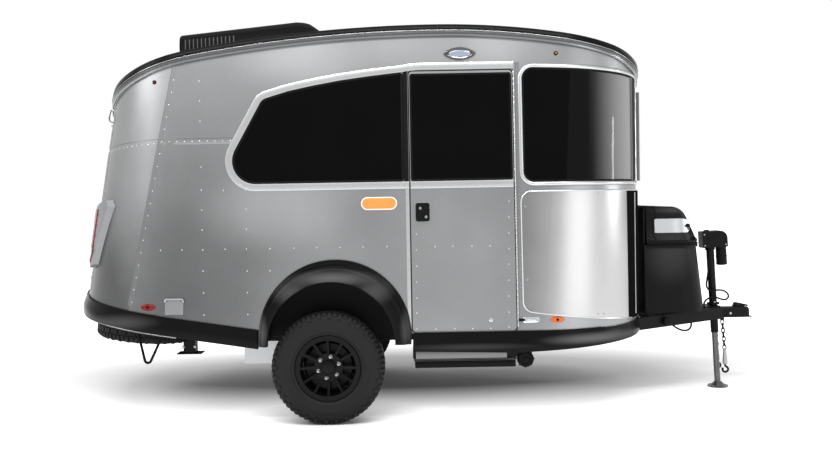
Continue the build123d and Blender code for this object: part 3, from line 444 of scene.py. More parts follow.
# The tail corners' copy of the skin, paler as a painted highlight, with more painted highlight at the top
# by the seam and painted shade lower down and towards the rear face.
REAR_SKIN_PAINTED_LIGHT = replace(SKIN, name="tail_corner_aluminium", high=(0.5, 0.505, 0.51),
    pools=((-1.74, 2.3, 0.34, 1.0, 0.09), (-1.8, 1.6, 0.24, 0.8, -0.12), (-2.3, 1.5, 0.42, 2.2, -0.34),
    (-1.95, 0.72, 0.6, 0.95, -0.5)))
ROOF_SHEET = Finish("roof_sheet", "roof_aluminium", (0.42, 0.425, 0.43), (0.5, 0.505, 0.51), (0.34, 0.42),
    Grain.BRUSHED, 380.0, 0.0012, 1.0)
FRAME_STRIP = Finish("window_frame_strip", "aluminium_skin", (0.38, 0.384, 0.388), (0.5, 0.504, 0.508),
    (0.26, 0.34), Grain.CAST, 120.0, 0.00005, 1.0)
RIVET_METAL = Finish("rivet_metal", "aluminium_skin", (0.58, 0.58, 0.58), (0.66, 0.66, 0.66), (0.2, 0.28),
    Grain.SMOOTH, 200.0, 0.0, 1.0)
# Guards' polished steel with a painted reflection: dark at their rear, paler where they turn round the
# corner and dark again near the nose.
GUARD_PAINTED_LIGHT = Finish("polished_guard", "guard_steel", (0.17, 0.17, 0.172), (0.49, 0.49, 0.492), (0.3, 0.36),
    Grain.BRUSHED, 520.0, 0.0004, 1.0, pools=((0.56, 1.05, 0.42, 2.4, -0.55), (1.15, 1.1, 0.7, 2.0, 0.21),
    (1.42, 1.4, 0.16, 0.42, -0.4)))
CHROME = Finish("bright_chrome", "aluminium_skin", (0.5, 0.51, 0.52), (0.6, 0.61, 0.62), (0.08, 0.12),
    Grain.SMOOTH, 200.0, 0.0, 1.0)
# Dark glass; its paler tone is a painted reflection on the corner windows where they turn to the nose.
GLASS_PAINTED_REFLECTION = Finish("dark_glass_pane", "dark_glass", (0.0012, 0.0012, 0.0014), (0.24, 0.24, 0.242),
    (0.03, 0.05), Grain.PANE, 4.0, 0.0, 0.0, 0.0, 0.035, 0.985)
SATIN_BLACK = Finish("satin_black_band", "trim_black", (0.002, 0.002, 0.0023), (0.005, 0.005, 0.0053),
    (0.25, 0.31), Grain.MOULDED, 620.0, 0.00012, specular=0.06)
# The flares' black with painted highlights along the arch's crown, on its shoulders and on both its feet.
FLARE_BLACK_PAINTED_HIGHLIGHT = replace(SATIN_BLACK, name="flare_satin", sheen=(0.1, 0.1, 0.102),
    pools=((-0.58, 0.953, 0.34, 0.066, 0.7), (-0.85, 0.87, 0.15, 0.11, 0.4),
    (-0.31, 0.87, 0.15, 0.11, 0.4), (-1.045, 0.62, 0.055, 0.16, 0.55), (-0.115, 0.62, 0.05, 0.16, 0.35)))
# The skirts' black with painted highlight bands on the front skirt, the rear skirt and under the door.
SKIRT_BLACK_PAINTED_HIGHLIGHT = replace(SATIN_BLACK, name="skirt_satin", sheen=(0.08, 0.08, 0.082),
    pools=((1.1, 0.532, 0.42, 0.045, 1.0), (-1.95, 0.69, 0.3, 0.06, 0.5), (0.3, 0.5, 0.5, 0.03, 0.25)))
COVER_BLACK = Finish("cover_plastic", "trim_black", (0.003, 0.003, 0.0033), (0.007, 0.007, 0.0073),
    (0.34, 0.42), Grain.MOULDED, 480.0, 0.0002, specular=0.06)
# The bottle cover's black with a painted highlight on the upper tub and a thin one along the lid's top.
TUB_BLACK_PAINTED_HIGHLIGHT = replace(COVER_BLACK, name="cover_satin", sheen=(0.034, 0.034, 0.035),
    pools=((1.77, 1.05, 0.23, 0.3, 0.75), (1.8, 1.34, 0.2, 0.035, 0.9)))
SHROUD = Finish("shroud_plastic", "shroud_black", (0.003, 0.003, 0.0034), (0.007, 0.007, 0.0074),
    (0.36, 0.44), Grain.MOULDED, 500.0, 0.0002, specular=0.06)
FRAME_PAINT = Finish("frame_paint", "frame_black", (0.003, 0.003, 0.003), (0.007, 0.007, 0.007),
    (0.36, 0.46), Grain.CAST, 260.0, 0.00025, specular=0.08)
UNDERFLOOR = Finish("underfloor_board", "underfloor", (0.004, 0.004, 0.004), (0.01, 0.01, 0.01),
    (0.6, 0.75), Grain.CAST, 160.0, 0.0004, specular=0.12)
RUBBER = Finish("seal_rubber", "trim_black", (0.003, 0.003, 0.003), (0.007, 0.007, 0.007), (0.5, 0.62),
    Grain.CAST, 400.0, 0.0001, specular=0.05)
TYRE_RUBBER = Finish("tyre_rubber", "tyre", (0.006, 0.006, 0.0062), (0.015, 0.015, 0.0155), (0.5, 0.66),
    Grain.CAST, 340.0, 0.0003, specular=0.12)
RIM_PAINT = Finish("rim_gloss_black", "rim_black", (0.003, 0.003, 0.003), (0.006, 0.006, 0.006),
    (0.24, 0.32), Grain.CAST, 300.0, 0.00006, specular=0.08)
ZINC = Finish("galvanised_steel", "zinc_steel", (0.24, 0.25, 0.26), (0.32, 0.33, 0.34), (0.32, 0.44),
    Grain.SPANGLED, 120.0, 0.0001, 0.9)
LEG_ZINC = replace(ZINC, name="leg_zinc", low=(0.07, 0.072, 0.075), high=(0.13, 0.132, 0.135))
# Nose moulding with no reflection at all: partly the moulding's own black, partly a painted dark
# reflection of the bottle cover.
NOSE_MOULDING_PAINTED_DARK = replace(SHROUD, name="nose_moulding", rough=(0.6, 0.7), specular=0.0)
FIN_GREY = replace(SHROUD, name="fin_grey", low=(0.06, 0.06, 0.062), high=(0.095, 0.095, 0.098))
DARK_STRIP = Finish("dark_metal_strip", "aluminium_skin", (0.1, 0.1, 0.102), (0.16, 0.16, 0.162),
    (0.3, 0.38), Grain.CAST, 120.0, 0.00005, 1.0)
EDGE_TRIM = replace(FRAME_STRIP, name="edge_trim_metal", low=(0.17, 0.172, 0.175),
    high=(0.26, 0.262, 0.265))
DARK_CHROME = replace(CHROME, name="dark_chrome", low=(0.06, 0.061, 0.063), high=(0.13, 0.131, 0.135))
LAMP_SILVER = Finish("lamp_housing_silver", "lamp_silver", (0.17, 0.173, 0.177), (0.21, 0.213, 0.217),
    (0.36, 0.44), Grain.CAST, 300.0, 0.0001, 0.55)
LENS_RED = Finish("red_lens", "lens_red", (0.12, 0.004, 0.006), (0.2, 0.008, 0.01), (0.14, 0.2),
    Grain.SMOOTH, 60.0, 0.0, coat=0.05, specular=0.12)
LENS_AMBER = Finish("amber_lens", "lens_amber", (0.44, 0.085, 0.016), (0.6, 0.12, 0.022), (0.08, 0.14),
    Grain.SMOOTH, 60.0, 0.0, coat=0.1, specular=0.15)
PORCH_LENS = Finish("porch_lens", "lamp_silver", (0.16, 0.19, 0.25), (0.24, 0.27, 0.34), (0.1, 0.18),
    Grain.SMOOTH, 80.0, 0.0, 0.2, 0.8)
BADGE_ORANGE = Finish("badge_orange", "lens_amber", (0.6, 0.2, 0.042), (0.66, 0.23, 0.05), (0.38, 0.44),
    Grain.SMOOTH, 60.0, 0.0, specular=0.2)
BADGE_RIM = Finish("badge_rim", "lamp_silver", (0.62, 0.6, 0.58), (0.68, 0.66, 0.64), (0.38, 0.44),
    Grain.SMOOTH, 60.0, 0.0, specular=0.2)
PANEL_SILVER = Finish("panel_silver", "lamp_silver", (0.3, 0.305, 0.31), (0.42, 0.425, 0.43),
    (0.36, 0.44), Grain.BRUSHED, 300.0, 0.0001, 1.0)
SMOKED = Finish("smoked_dome", "smoked_plastic", (0.02, 0.02, 0.022), (0.035, 0.035, 0.038), (0.12, 0.2),
    Grain.SMOOTH, 60.0, 0.0, coat=0.3)
BOTTLE_PAINT = Finish("bottle_paint", "bottle_paint", (0.66, 0.66, 0.64), (0.74, 0.74, 0.72), (0.3, 0.4),
    Grain.CAST, 240.0, 0.0001)
CABINET = Finish("cabinet_laminate", "cabinet", (0.6, 0.58, 0.55), (0.7, 0.68, 0.65), (0.4, 0.5),
    Grain.CAST, 200.0, 0.0001)
WORKTOP = Finish("worktop_laminate", "cabinet", (0.1, 0.1, 0.105), (0.16, 0.16, 0.165), (0.3, 0.4),
    Grain.CAST, 420.0, 0.0001)
CUSHION = Finish("seat_cloth", "cushion_fabric", (0.17, 0.18, 0.19), (0.29, 0.3, 0.32), (0.82, 0.92),
    Grain.WOVEN, 240.0, 0.0008)


# ---------------------------------------------------------------- the body's own form
@dataclass(frozen=True)
class Hull:
    """The caravan's skin: leaning sides and rounded ends, addressed by run and height.

    The run is the plan outline's length: it equals x on the flat side, and goes on round
    the front corner as it grows and round the rear corner as it falls.

    Attributes:
        floor_z: height at which the widths are given.
        side_half: half width at that height.
        tumblehome: degrees that each side leans in.
        rear_apex: rearmost x at that height.
        rear_lean: degrees that the rear leans forward.
        front_apex: foremost x.
        rear_end: radius and half angle of the rear face.
        front_end: radius and half angle of the front face.
        tail_break: x behind which the walls' lower edge climbs.
        tail_rise: its climb per metre.
        probe: step over which the skin's direction is measured.
    """

    floor_z: float = 0.59
    side_half: float = 1.03
    tumblehome: float = 3.2
    rear_apex: float = -2.455
    rear_lean: float = 9.5
    front_apex: float = 1.566
    rear_end: Flat = (1.5, 26.0)
    front_end: Flat = (1.6, 18.0)
    tail_break: float = -0.819
    tail_rise: float = 0.154
    probe: float = 0.002

    def half_width(self, z: float) -> float:
        """Half width of the body at a height."""
        return self.side_half - (z - self.floor_z) * tan(radians(self.tumblehome))

    def tail_floor(self, x: float) -> float:
        """Height of the walls' lower edge."""
        return self.floor_z + max(0.0, self.tail_break - x) * self.tail_rise

    def _end(self, z: float, way: int) -> tuple[float, float, float, float, float]:
        """One end's plan: x of its side's end, corner radius, turn, face radius and corner centre's y.

        Args:
            z: height of the plan.
            way: 1 for the nose and -1 for the tail.

        Returns:
            Those five measures.
        """
        radius, angle = self.front_end if way > 0 else self.rear_end
        turn = radians(angle)
        apex = self.front_apex
        if way < 0:
            apex = self.rear_apex + (z - self.floor_z) * tan(radians(self.rear_lean))
        corner = (self.half_width(z) - radius * sin(turn)) / (1.0 - sin(turn))
        start = apex - way * radius + way * (radius - corner) * cos(turn)
        return start, corner, turn, radius, (radius - corner) * sin(turn)

    def plan(self, run: float, z: float) -> Flat:
        """Point of the plan outline as x and distance from the centre plane."""
        for way in (1, -1):
            start, corner, turn, radius, centre_y = self._end(z, way)
            beyond = way * (run - start)
            if beyond <= 0.0:
                continue
            bend = corner * (pi / 2 - turn)
            if beyond <= bend:
                angle = pi / 2 - beyond / corner
                return start + way * corner * cos(angle), centre_y + corner * sin(angle)
            angle = turn - (beyond - bend) / radius
            centre_x = start - way * (radius - corner) * cos(turn)
            return centre_x + way * radius * cos(angle), radius * sin(angle)
        return run, self.half_width(z)

    def at(self, run: float, z: float, proud: float = 0.0, side: Side = Side.RIGHT) -> Vector:
        """Point on the skin, or standing off it.

        Args:
            run: length along the plan outline.
            z: height.
            proud: distance out from the skin.
            side: which half of the body.

        Returns:
            The point.
        """
        x, y = self.plan(run, z)
        point = Vector((x, side.value * y, z))
        return point + self.facing(run, z, side) * proud if proud else point

    def facing(self, run: float, z: float, side: Side = Side.RIGHT) -> Vector:
        """Outward direction of the skin.

        Args:
            run: place along the plan.
            z: height.
            side: which half of the body.

        Returns:
            The direction, one metre long.
        """
        low, high = z - self.probe, z + self.probe
        across = Vector((*self.plan(run + self.probe, z), z)) - Vector(
            (*self.plan(run - self.probe, z), z))
        top = Vector((*self.plan(self.same_line(run, z, high), high), high))
        foot = Vector((*self.plan(self.same_line(run, z, low), low), low))
        normal = (top - foot).cross(across).normalized()
        return Vector((normal.x, normal.y * side.value, normal.z))

    def spot(self, run: float, z: float, side: Side = Side.RIGHT) -> tuple[Vector, Vector]:
        """Point of the skin and its outward direction."""
        return self.at(run, z, 0.0, side), self.facing(run, z, side)

    def same_line(self, run: float, z: float, other_z: float) -> float:
        """Run at another height on the same ruled line of the skin."""
        for way in (1, -1):
            start = self._end(z, way)[0]
            if way * (run - start) > 0.0:
                corner, turn = self._end(z, way)[1:3]
                other_start, other_corner = self._end(other_z, way)[:2]
                bend = corner * (pi / 2 - turn)
                beyond = way * (run - start)
                share = min(beyond / bend, 1.0)
                rest = max(beyond - bend, 0.0)
                return other_start + way * (share * other_corner * (pi / 2 - turn) + rest)
        return run

    def run_at_x(self, x: float, z: float) -> float:
        """Run at which the skin has a given x."""
        low, high = self.run_at_y(0.0, z, -1), self.run_at_y(0.0, z, 1)
        for _ in range(40):
            middle = (low + high) / 2
            low, high = (middle, high) if self.plan(middle, z)[0] < x else (low, middle)
        return low

    def run_at_y(self, y: float, z: float, way: int) -> float:
        """Run at which the skin of an end has a given distance from the centre plane.

        Args:
            y: distance from the centre plane.
            z: height.
            way: 1 for the front end and -1 for the rear.

        Returns:
            The run.
        """
        start, corner, turn, radius, centre_y = self._end(z, way)
        bend = corner * (pi / 2 - turn)
        if y <= radius * sin(turn):
            return start + way * (bend + radius * (turn - asin(max(y, 0.0) / radius)))
        angle = asin(min((y - centre_y) / corner, 1.0))
        return start + way * corner * (pi / 2 - angle)


@dataclass(frozen=True)
class RoofLine:
    """The roof's outline from the side: two arcs each way from its peak.

    Attributes:
        peak: x and z of the highest point.
        forward: radius and end angle of each arc to the front.
        rearward: radius and end angle of each arc to the rear.
    """

    peak: Flat = (0.1, 2.574)
    forward: tuple = ((5.3, 12.5), (0.9, 44.0))
    rearward: tuple = ((9.3, 9.6), (2.0, 46.0))

    def z(self, x: float) -> float:
        """Height of the roof line at x.

        Args:
            x: place along the body.

        Returns:
            The height.
        """
        way = 1 if x >= self.peak[0] else -1
        arcs = self.forward if way > 0 else self.rearward
        centre_x, centre_z = self.peak[0], self.peak[1] - arcs[0][0]
        start, previous = 0.0, arcs[0][0]
        for radius, end_angle in arcs:
            centre_x += way * (previous - radius) * sin(start)
            centre_z += (previous - radius) * cos(start)
            start = radians(end_angle)
            previous = radius
            if way * (x - centre_x) <= radius * sin(start):
                break
        offset = min(abs(x - centre_x), previous * sin(start))
        return centre_z + sqrt(previous ** 2 - offset ** 2)

    def slope(self, x: float) -> float:
        """Cosine of the roof line's slope at x."""
        rise = (self.z(x + 0.01) - self.z(x - 0.01)) / 0.02
        return 1.0 / sqrt(1.0 + rise * rise)


HULL = Hull()
ROOF = RoofLine()


def rounded(corners: Sequence[tuple], closed: bool = True, steps: int = 8) -> list[Flat]:
    """Polyline through corners that are rounded by arcs.

    Args:
        corners: (a, b) or (a, b, radius) of each corner.
        closed: join the last corner to the first.
        steps: points on each arc.

    Returns:
        The polyline's points.
    """
    points: list[Flat] = []
    count = len(corners)
    for index, corner in enumerate(corners):
        here = Vector(corner[:2])
        radius = corner[2] if len(corner) > 2 else 0.0
        if radius <= 0.0 or (not closed and index in (0, count - 1)):
            points.append((here.x, here.y))
            continue
        before = (Vector(corners[index - 1][:2]) - here).normalized()
        after = (Vector(corners[(index + 1) % count][:2]) - here).normalized()
        half = before.angle(after) / 2
        reach = radius / tan(half)
        centre = here + (before + after).normalized() * (radius / sin(half))
        first, last = here + before * reach - centre, here + after * reach - centre
        for step in range(steps + 1):
            angle = atan2(first.y, first.x)
            sweep = atan2(last.y, last.x) - angle
            sweep = (sweep + pi) % (2 * pi) - pi
            turn = angle + sweep * step / steps
            points.append((centre.x + radius * cos(turn), centre.y + radius * sin(turn)))
    return points


def turned(angle: float, axis: str) -> Matrix:
    """Turn by an angle in degrees about an axis."""
    return Matrix.Rotation(radians(angle), 3, axis)


def mm(*sizes: float) -> tuple[Flat, ...]:
    """Points of a profile, whose pairs of sizes are given one after another in millimetres."""
    return tuple((a / 1000, b / 1000) for a, b in zip(sizes[::2], sizes[1::2]))


def tiers(*sizes: float) -> tuple[Flat, ...]:
    """Rings of a raised outline, as pairs of a scale and a distance off the skin in millimetres."""
    return tuple((scale, b / 1000) for scale, b in zip(sizes[::2], sizes[1::2]))


def stations(start: float, end: float, count: int) -> list[float]:
    """Values from start to end in a number of equal steps."""
    return [start + (end - start) * index / count for index in range(count + 1)]


def refined(path: Sequence[Flat], closed: bool, longest: float) -> list[Flat]:
    """A polyline with no piece longer than a limit.

    Args:
        path: its points.
        closed: join its end to its start.
        longest: the limit.

    Returns:
        The points, with the added ones between them.
    """
    points: list[Flat] = []
    ends = list(path) + ([path[0]] if closed else [])
    for start, end in zip(ends, ends[1:]):
        parts = max(1, ceil(dist(start, end) / longest))
        points += [(start[0] + (end[0] - start[0]) * i / parts,
            start[1] + (end[1] - start[1]) * i / parts) for i in range(parts)]
    return points if closed else points + [tuple(ends[-1])]


def beside(path: Sequence[Flat], offset: float, closed: bool) -> list[Flat]:
    """Polyline moved sideways, to the right of its way for a positive offset.

    Args:
        path: its points.
        offset: the distance.
        closed: join its end to its start.

    Returns:
        The moved points.
    """
    moved: list[Flat] = []
    count = len(path)
    for index, point in enumerate(path):
        before = Vector(path[index - 1]) if index or closed else None
        after = Vector(path[(index + 1) % count]) if index < count - 1 or closed else None
        here = Vector(point)
        ways = [w.normalized() for w in ((here - before) if before else None,
            (after - here) if after else None) if w is not None and w.length > 1e-9]
        way = sum(ways, Vector((0.0, 0.0))).normalized()
        bend = max(way.dot(ways[0]), 0.5)
        moved.append((here.x + way.y * offset / bend, here.y - way.x * offset / bend))
    return moved


def spaced(path: Sequence[Flat], pitch: float, closed: bool = False, margin: float = 0.0) -> list[Flat]:
    """Points along a polyline at an even pitch near the one given.

    Args:
        path: its points.
        pitch: the step that is wanted.
        closed: join its end to its start.
        margin: length left free at each end.

    Returns:
        The points.
    """
    ends = list(path) + ([path[0]] if closed else [])
    lengths = [0.0]
    for start, end in zip(ends, ends[1:]):
        lengths.append(lengths[-1] + dist(start, end))
    total = lengths[-1] - 2 * margin
    count = max(1, round(total / pitch))
    points: list[Flat] = []
    for index in range(count if closed else count + 1):
        target = margin + total * index / count
        piece = max(i for i in range(len(lengths) - 1) if lengths[i] <= target + 1e-9)
        share = (target - lengths[piece]) / max(lengths[piece + 1] - lengths[piece], 1e-9)
        start, end = ends[piece], ends[piece + 1]
        points.append((start[0] + (end[0] - start[0]) * share, start[1] + (end[1] - start[1]) * share))
    return points


def smooth_line(points: Sequence[Sequence[float]], steps: int = 8) -> list[Vector]:
    """Smooth curve through points in space.

    Args:
        points: what it passes through.
        steps: pieces between two of them.

    Returns:
        Points of the curve.
    """
    line = [Vector(p) for p in points]
    padded = [line[0] * 2 - line[1], *line, line[-1] * 2 - line[-2]]
    curve: list[Vector] = []
    for index in range(1, len(padded) - 2):
        a, b, c, d = padded[index - 1:index + 3]
        for step in range(steps):
            t = step / steps
            curve.append(0.5 * ((2 * b) + (c - a) * t + (2 * a - 5 * b + 4 * c - d) * t ** 2
                + (3 * b - a - 3 * c + d) * t ** 3))
    curve.append(line[-1])
    return curve


# ---------------------------------------------------------------- meshes
class Sheetwork:
    """Collects the vertices and faces of one piece."""

    def __init__(self) -> None:
        """Start with nothing."""
        self.points: list[Vector] = []
        self.faces: list[tuple[int, ...]] = []

    def grid(self, rows: Sequence[Sequence[Vector]], ring: bool = False,
            loop: bool = False) -> "Sheetwork":
        """Skin a grid of points.

        Args:
            rows: points, row by row.
            ring: join each row's end to its start.
            loop: join the last row to the first.
        """
        base = len(self.points)
        width = len(rows[0])
        for row in rows:
            self.points += [Vector(p) for p in row]
        for i in range(len(rows) if loop else len(rows) - 1):
            following = (i + 1) % len(rows)
            for j in range(width if ring else width - 1):
                k = (j + 1) % width
                self.faces.append((base + i * width + j, base + i * width + k,
                    base + following * width + k, base + following * width + j))
        return self

    def cap(self, ring: Sequence[Vector]) -> "Sheetwork":
        """Close a ring with one face.

        Args:
            ring: the face's corners.

        Returns:
            This sheetwork.
        """
        base = len(self.points)
        self.points += [Vector(p) for p in ring]
        self.faces.append(tuple(range(base, base + len(ring))))
        return self

    def lathe(self, profile: Sequence[Flat], centre: Vector, axis: Vector,
            segments: int = 32) -> "Sheetwork":
        """Turn a profile about an axis.

        Args:
            profile: (radius, distance along the axis) of each point.
            centre: origin of the axis.
            axis: its direction.
            segments: faces round the axis.
        """
        lift = axis.normalized()
        first = lift.orthogonal().normalized()
        second = lift.cross(first)
        rows = []
        for radius, along in profile:
            rows.append([centre + lift * along + (first * cos(a) + second * sin(a)) * radius
                for a in (2 * pi * i / segments for i in range(segments))])
        return self.grid(rows, ring=True)

    def studs(self, profile: Sequence[Flat], spots: Iterable[tuple[Vector, Vector]],
            segments: int) -> "Sheetwork":
        """Turn the same profile at several places.

        Args:
            profile: (radius, distance along the axis) of each point.
            spots: point and axis of each.
            segments: faces round each axis.

        Returns:
            This sheetwork.
        """
        for centre, axis in spots:
            self.lathe(profile, centre, axis, segments)
        return self

    def tube(self, line: Sequence[Vector], radius: float, sides: int = 10,
            closed: bool = False) -> "Sheetwork":
        """Sweep a round section along a line.

        Args:
            line: points of the section's middle.
            radius: of the section.
            sides: faces round it.
            closed: join the line's end to its start.

        Returns:
            This sheetwork.
        """
        rings = []
        normal: Optional[Vector] = None
        count = len(line)
        for index, point in enumerate(line):
            ahead = line[(index + 1) % count] if closed or index < count - 1 else line[index]
            behind = line[index - 1] if closed or index else line[index]
            way = (ahead - behind).normalized()
            normal = way.orthogonal().normalized() if normal is None else (
                normal - way * normal.dot(way)).normalized()
            second = way.cross(normal)
            rings.append([point + (normal * cos(a) + second * sin(a)) * radius
                for a in (2 * pi * i / sides for i in range(sides))])
        self.grid(rings, ring=True, loop=closed)
        if not closed:
            self.cap(rings[0][::-1]).cap(rings[-1])
        return self

    def block(self, centre: Sequence[float], size: Sequence[float], radius: float = 0.003,
            turn: Optional[Matrix] = None, steps: int = 2) -> "Sheetwork":
        """Add a block with rounded edges.

        Args:
            centre: its middle.
            size: its three lengths.
            radius: radius of its edges.
            turn: rotation about its middle.
            steps: faces across each rounded edge.
        """
        solid = bmesh.new()
        bmesh.ops.create_cube(solid, size=1.0)
        for vertex in solid.verts:
            vertex.co = Vector([c * s for c, s in zip(vertex.co, size)])
        bmesh.ops.bevel(solid, geom=list(solid.edges), offset=min(radius, min(size) * 0.45),
            segments=steps, profile=0.5, affect="EDGES")
        base = len(self.points)
        for vertex in solid.verts:
            moved = (turn @ vertex.co) if turn else vertex.co
            self.points.append(moved + Vector(centre))
        solid.verts.index_update()
        self.faces += [tuple(base + v.index for v in face.verts) for face in solid.faces]
        solid.free()
        return self

    def strip(self, path: Sequence[Flat], profile: Sequence[Flat], closed: bool, side: Side = Side.RIGHT,
            place: Optional[Callable[[float, float, float, Side], Vector]] = None) -> "Sheetwork":
        """Sweep a flat profile along a path drawn on the skin.

        Args:
            path: (run, height) of each point.
            profile: (sideways offset, distance off the skin) of each point.
            closed: join the path's end to its start.
            side: which half of the body.
            place: maps run, height, stand-off and side to a point; the skin by default.
        """
        put = place or HULL.at
        lanes = [beside(path, offset, closed) for offset, _ in profile]
        rows = [[put(lane[index][0], lane[index][1], proud, side)
            for lane, (_, proud) in zip(lanes, profile)] for index in range(len(path))]
        return self.grid(rows, loop=closed)

    def dome(self, outline: Sequence[Flat], rings: Sequence[Flat], side: Side = Side.RIGHT,
            place: Optional[Callable[[float, float, float, Side], Vector]] = None) -> "Sheetwork":
        """Raise a closed outline on the skin through shrinking rings and close it.

        Args:
            outline: (run, height) of each point.
            rings: (scale about the middle, distance off the skin) of each ring, from the skin up.
            side: which half of the body.
            place: maps run, height, stand-off and side to a point; the skin by default.
        """
        put = place or HULL.at
        middle = (sum(p[0] for p in outline) / len(outline), sum(p[1] for p in outline) / len(outline))
        rows = [[put(middle[0] + (a - middle[0]) * scale, middle[1] + (b - middle[1]) * scale, proud,
            side) for a, b in outline] for scale, proud in rings]
        return self.grid(rows, ring=True).cap(rows[-1])

    def piece(self, name: str, finish: Finish, body: str = "trailer") -> bpy.types.Object:
        """Make the object, give it its finish and let it ride on a body.

        Args:
            name: name of the piece.
            finish: its finish.
            body: the body that it rides on.

        Returns:
            The object.
        """
        mesh = bpy.data.meshes.new(name)
        mesh.from_pydata(self.points, [], self.faces)
        tidy = bmesh.new()
        tidy.from_mesh(mesh)
        bmesh.ops.remove_doubles(tidy, verts=list(tidy.verts), dist=SAME_POINT)
        bmesh.ops.recalc_face_normals(tidy, faces=list(tidy.faces))
        tidy.to_mesh(mesh)
        tidy.free()
        mesh.materials.append(finish.material())
        smoothed(mesh)
        return settle(placed(name, mesh), finish, body)


# ---------------------------------------------------------------- repeats
class Repeat(Graph):
    """A Geometry Nodes tree that repeats a small form, with named inputs."""

    def __init__(self) -> None:
        """Start a tree with a mesh going in and out, and let its kind fill it."""
        super().__init__(bpy.data.node_groups.new(type(self).__name__, "GeometryNodeTree"))
        for way in ("INPUT", "OUTPUT"):
            self.tree.interface.new_socket("Geometry", in_out=way, socket_type="NodeSocketGeometry")
        self.entry = self.node("NodeGroupInput")
        self.exit = self.node("NodeGroupOutput")
        self.build()

    def given(self, **kinds: str) -> list[bpy.types.NodeSocket]:
        """Add inputs, spelt with underscores for spaces, and return their sockets inside the tree."""
        for name, kind in kinds.items():
            self.tree.interface.new_socket(name.replace("_", " "), in_out="INPUT",
                socket_type="NodeSocket" + kind)
        return [self.entry.outputs[name.replace("_", " ")] for name in kinds]

    def build(self) -> None:
        """Fill the tree. Each kind of repeat has its own way."""
        raise NotImplementedError

    def close(self, copies: bpy.types.NodeSocket) -> None:
        """End the tree: realise the instances and give them their material.

        Args:
            copies: socket with the instances.
        """
        real = self.node("GeometryNodeRealizeInstances", {"Geometry": copies})
        finish, = self.given(Material="Material")
        shade = self.node("GeometryNodeSetMaterial", {"Geometry": real.outputs["Geometry"],
            "Material": finish})
        join(self.tree, shade.outputs["Geometry"], self.exit.inputs[0])

    def make(self, name: str, finish: Finish, body: str, carrier: Optional[bpy.types.Mesh] = None,
            **settings: object) -> bpy.types.Object:
        """Run the tree on a carrier mesh and keep the result as a plain piece.

        Args:
            name: name of the piece.
            finish: its finish.
            body: the body that it rides on.
            carrier: mesh that goes in.
            settings: the tree's inputs, spelt with underscores for spaces.

        Returns:
            The piece.
        """
        made = placed(name, carrier or bpy.data.meshes.new(name + "_carrier"))
        modifier = made.modifiers.new("repeat", "NODES")
        modifier.node_group = self.tree
        settings["Material"] = finish.material()
        for item in self.tree.interface.items_tree:
            if item.in_out == "INPUT" and item.name.replace(" ", "_") in settings:
                modifier[item.identifier] = settings[item.name.replace(" ", "_")]
        bpy.context.view_layer.update()
        seen = bpy.context.evaluated_depsgraph_get()
        mesh = bpy.data.meshes.new_from_object(made.evaluated_get(seen), depsgraph=seen)
        made.modifiers.clear()
        made.data = mesh
        mesh.name = name
        mesh.materials.clear()
        mesh.materials.append(finish.material())
        smoothed(mesh)
        return settle(made, finish, body)


class RivetHeads(Repeat):
    """A domed head on each point of the carrier, square to its stored direction."""

    def build(self) -> None:
        """Points, domes and their turn."""
        radius, height, sides = self.given(Head_Radius="Float", Head_Height="Float", Sides="Int")
        dome = self.node("GeometryNodeMeshUVSphere", {"Rings": 4, "Segments": sides})
        scale = self.node("ShaderNodeCombineXYZ", {0: radius, 1: radius, 2: height})
        shaped = self.node("GeometryNodeTransform", {"Geometry": dome.outputs["Mesh"],
            "Scale": scale.outputs[0]})
        facing = self.node("GeometryNodeInputNamedAttribute", {"Name": "facing"},
            data_type="FLOAT_VECTOR")
        turn = self.node("FunctionNodeAlignRotationToVector", {"Vector": facing.outputs["Attribute"]},
            axis="Z")
        place = self.node("GeometryNodeInstanceOnPoints", {"Points": self.entry.outputs[0],
            "Instance": shaped.outputs["Geometry"], "Rotation": turn.outputs["Rotation"]})
        self.close(place.outputs["Instances"])


class WheelRing(Repeat):
    """Copies of a form, modelled on its own radius, turned round the Y axis at even steps."""

    def build(self) -> None:
        """Points at the axis, each turned one step further."""
        count, phase, form, centre, tilt = self.given(Count="Int", Phase="Float", Form="Object",
            Centre="Vector", Tilt="Vector")
        points = self.node("GeometryNodeMeshLine", {"Offset": ORIGIN, "Count": count}, mode="OFFSET")
        index = self.node("GeometryNodeInputIndex")
        share = self.value(0, "ShaderNodeMath", {0: index.outputs[0], 1: count}, operation="DIVIDE")
        angle = self.value(0, "ShaderNodeMath", {0: share, 1: 2 * pi, 2: phase}, operation="MULTIPLY_ADD")
        turn = self.node("ShaderNodeCombineXYZ", {1: angle})
        source = self.node("GeometryNodeObjectInfo", {"Object": form})
        place = self.node("GeometryNodeInstanceOnPoints", {"Points": points.outputs["Mesh"],
            "Instance": source.outputs["Geometry"], "Rotation": turn.outputs[0]})
        moved = self.node("GeometryNodeTransform", {"Geometry": place.outputs["Instances"],
            "Translation": centre, "Rotation": tilt})
        self.close(moved.outputs["Geometry"])


class Row(Repeat):
    """Copies of a form at even steps along a straight line."""

    def build(self) -> None:
        """Points on the line."""
        count, start, step, form = self.given(Count="Int", Start="Vector", Step="Vector", Form="Object")
        points = self.node("GeometryNodeMeshLine", {"Count": count, "Start Location": start,
            "Offset": step}, mode="OFFSET")
        source = self.node("GeometryNodeObjectInfo", {"Object": form})
        place = self.node("GeometryNodeInstanceOnPoints", {"Points": points.outputs["Mesh"],
            "Instance": source.outputs["Geometry"]})
        self.close(place.outputs["Instances"])


@cache
def repeat(kind: type[Repeat]) -> Repeat:
    """The one tree of a kind, built when it is first needed."""
    return kind()


def template(work: Sheetwork, name: str) -> bpy.types.Object:
    """A form for a repeat, kept out of the scene."""
    mesh = bpy.data.meshes.new(name)
    mesh.from_pydata(work.points, [], work.faces)
    return bpy.data.objects.new(name, mesh)


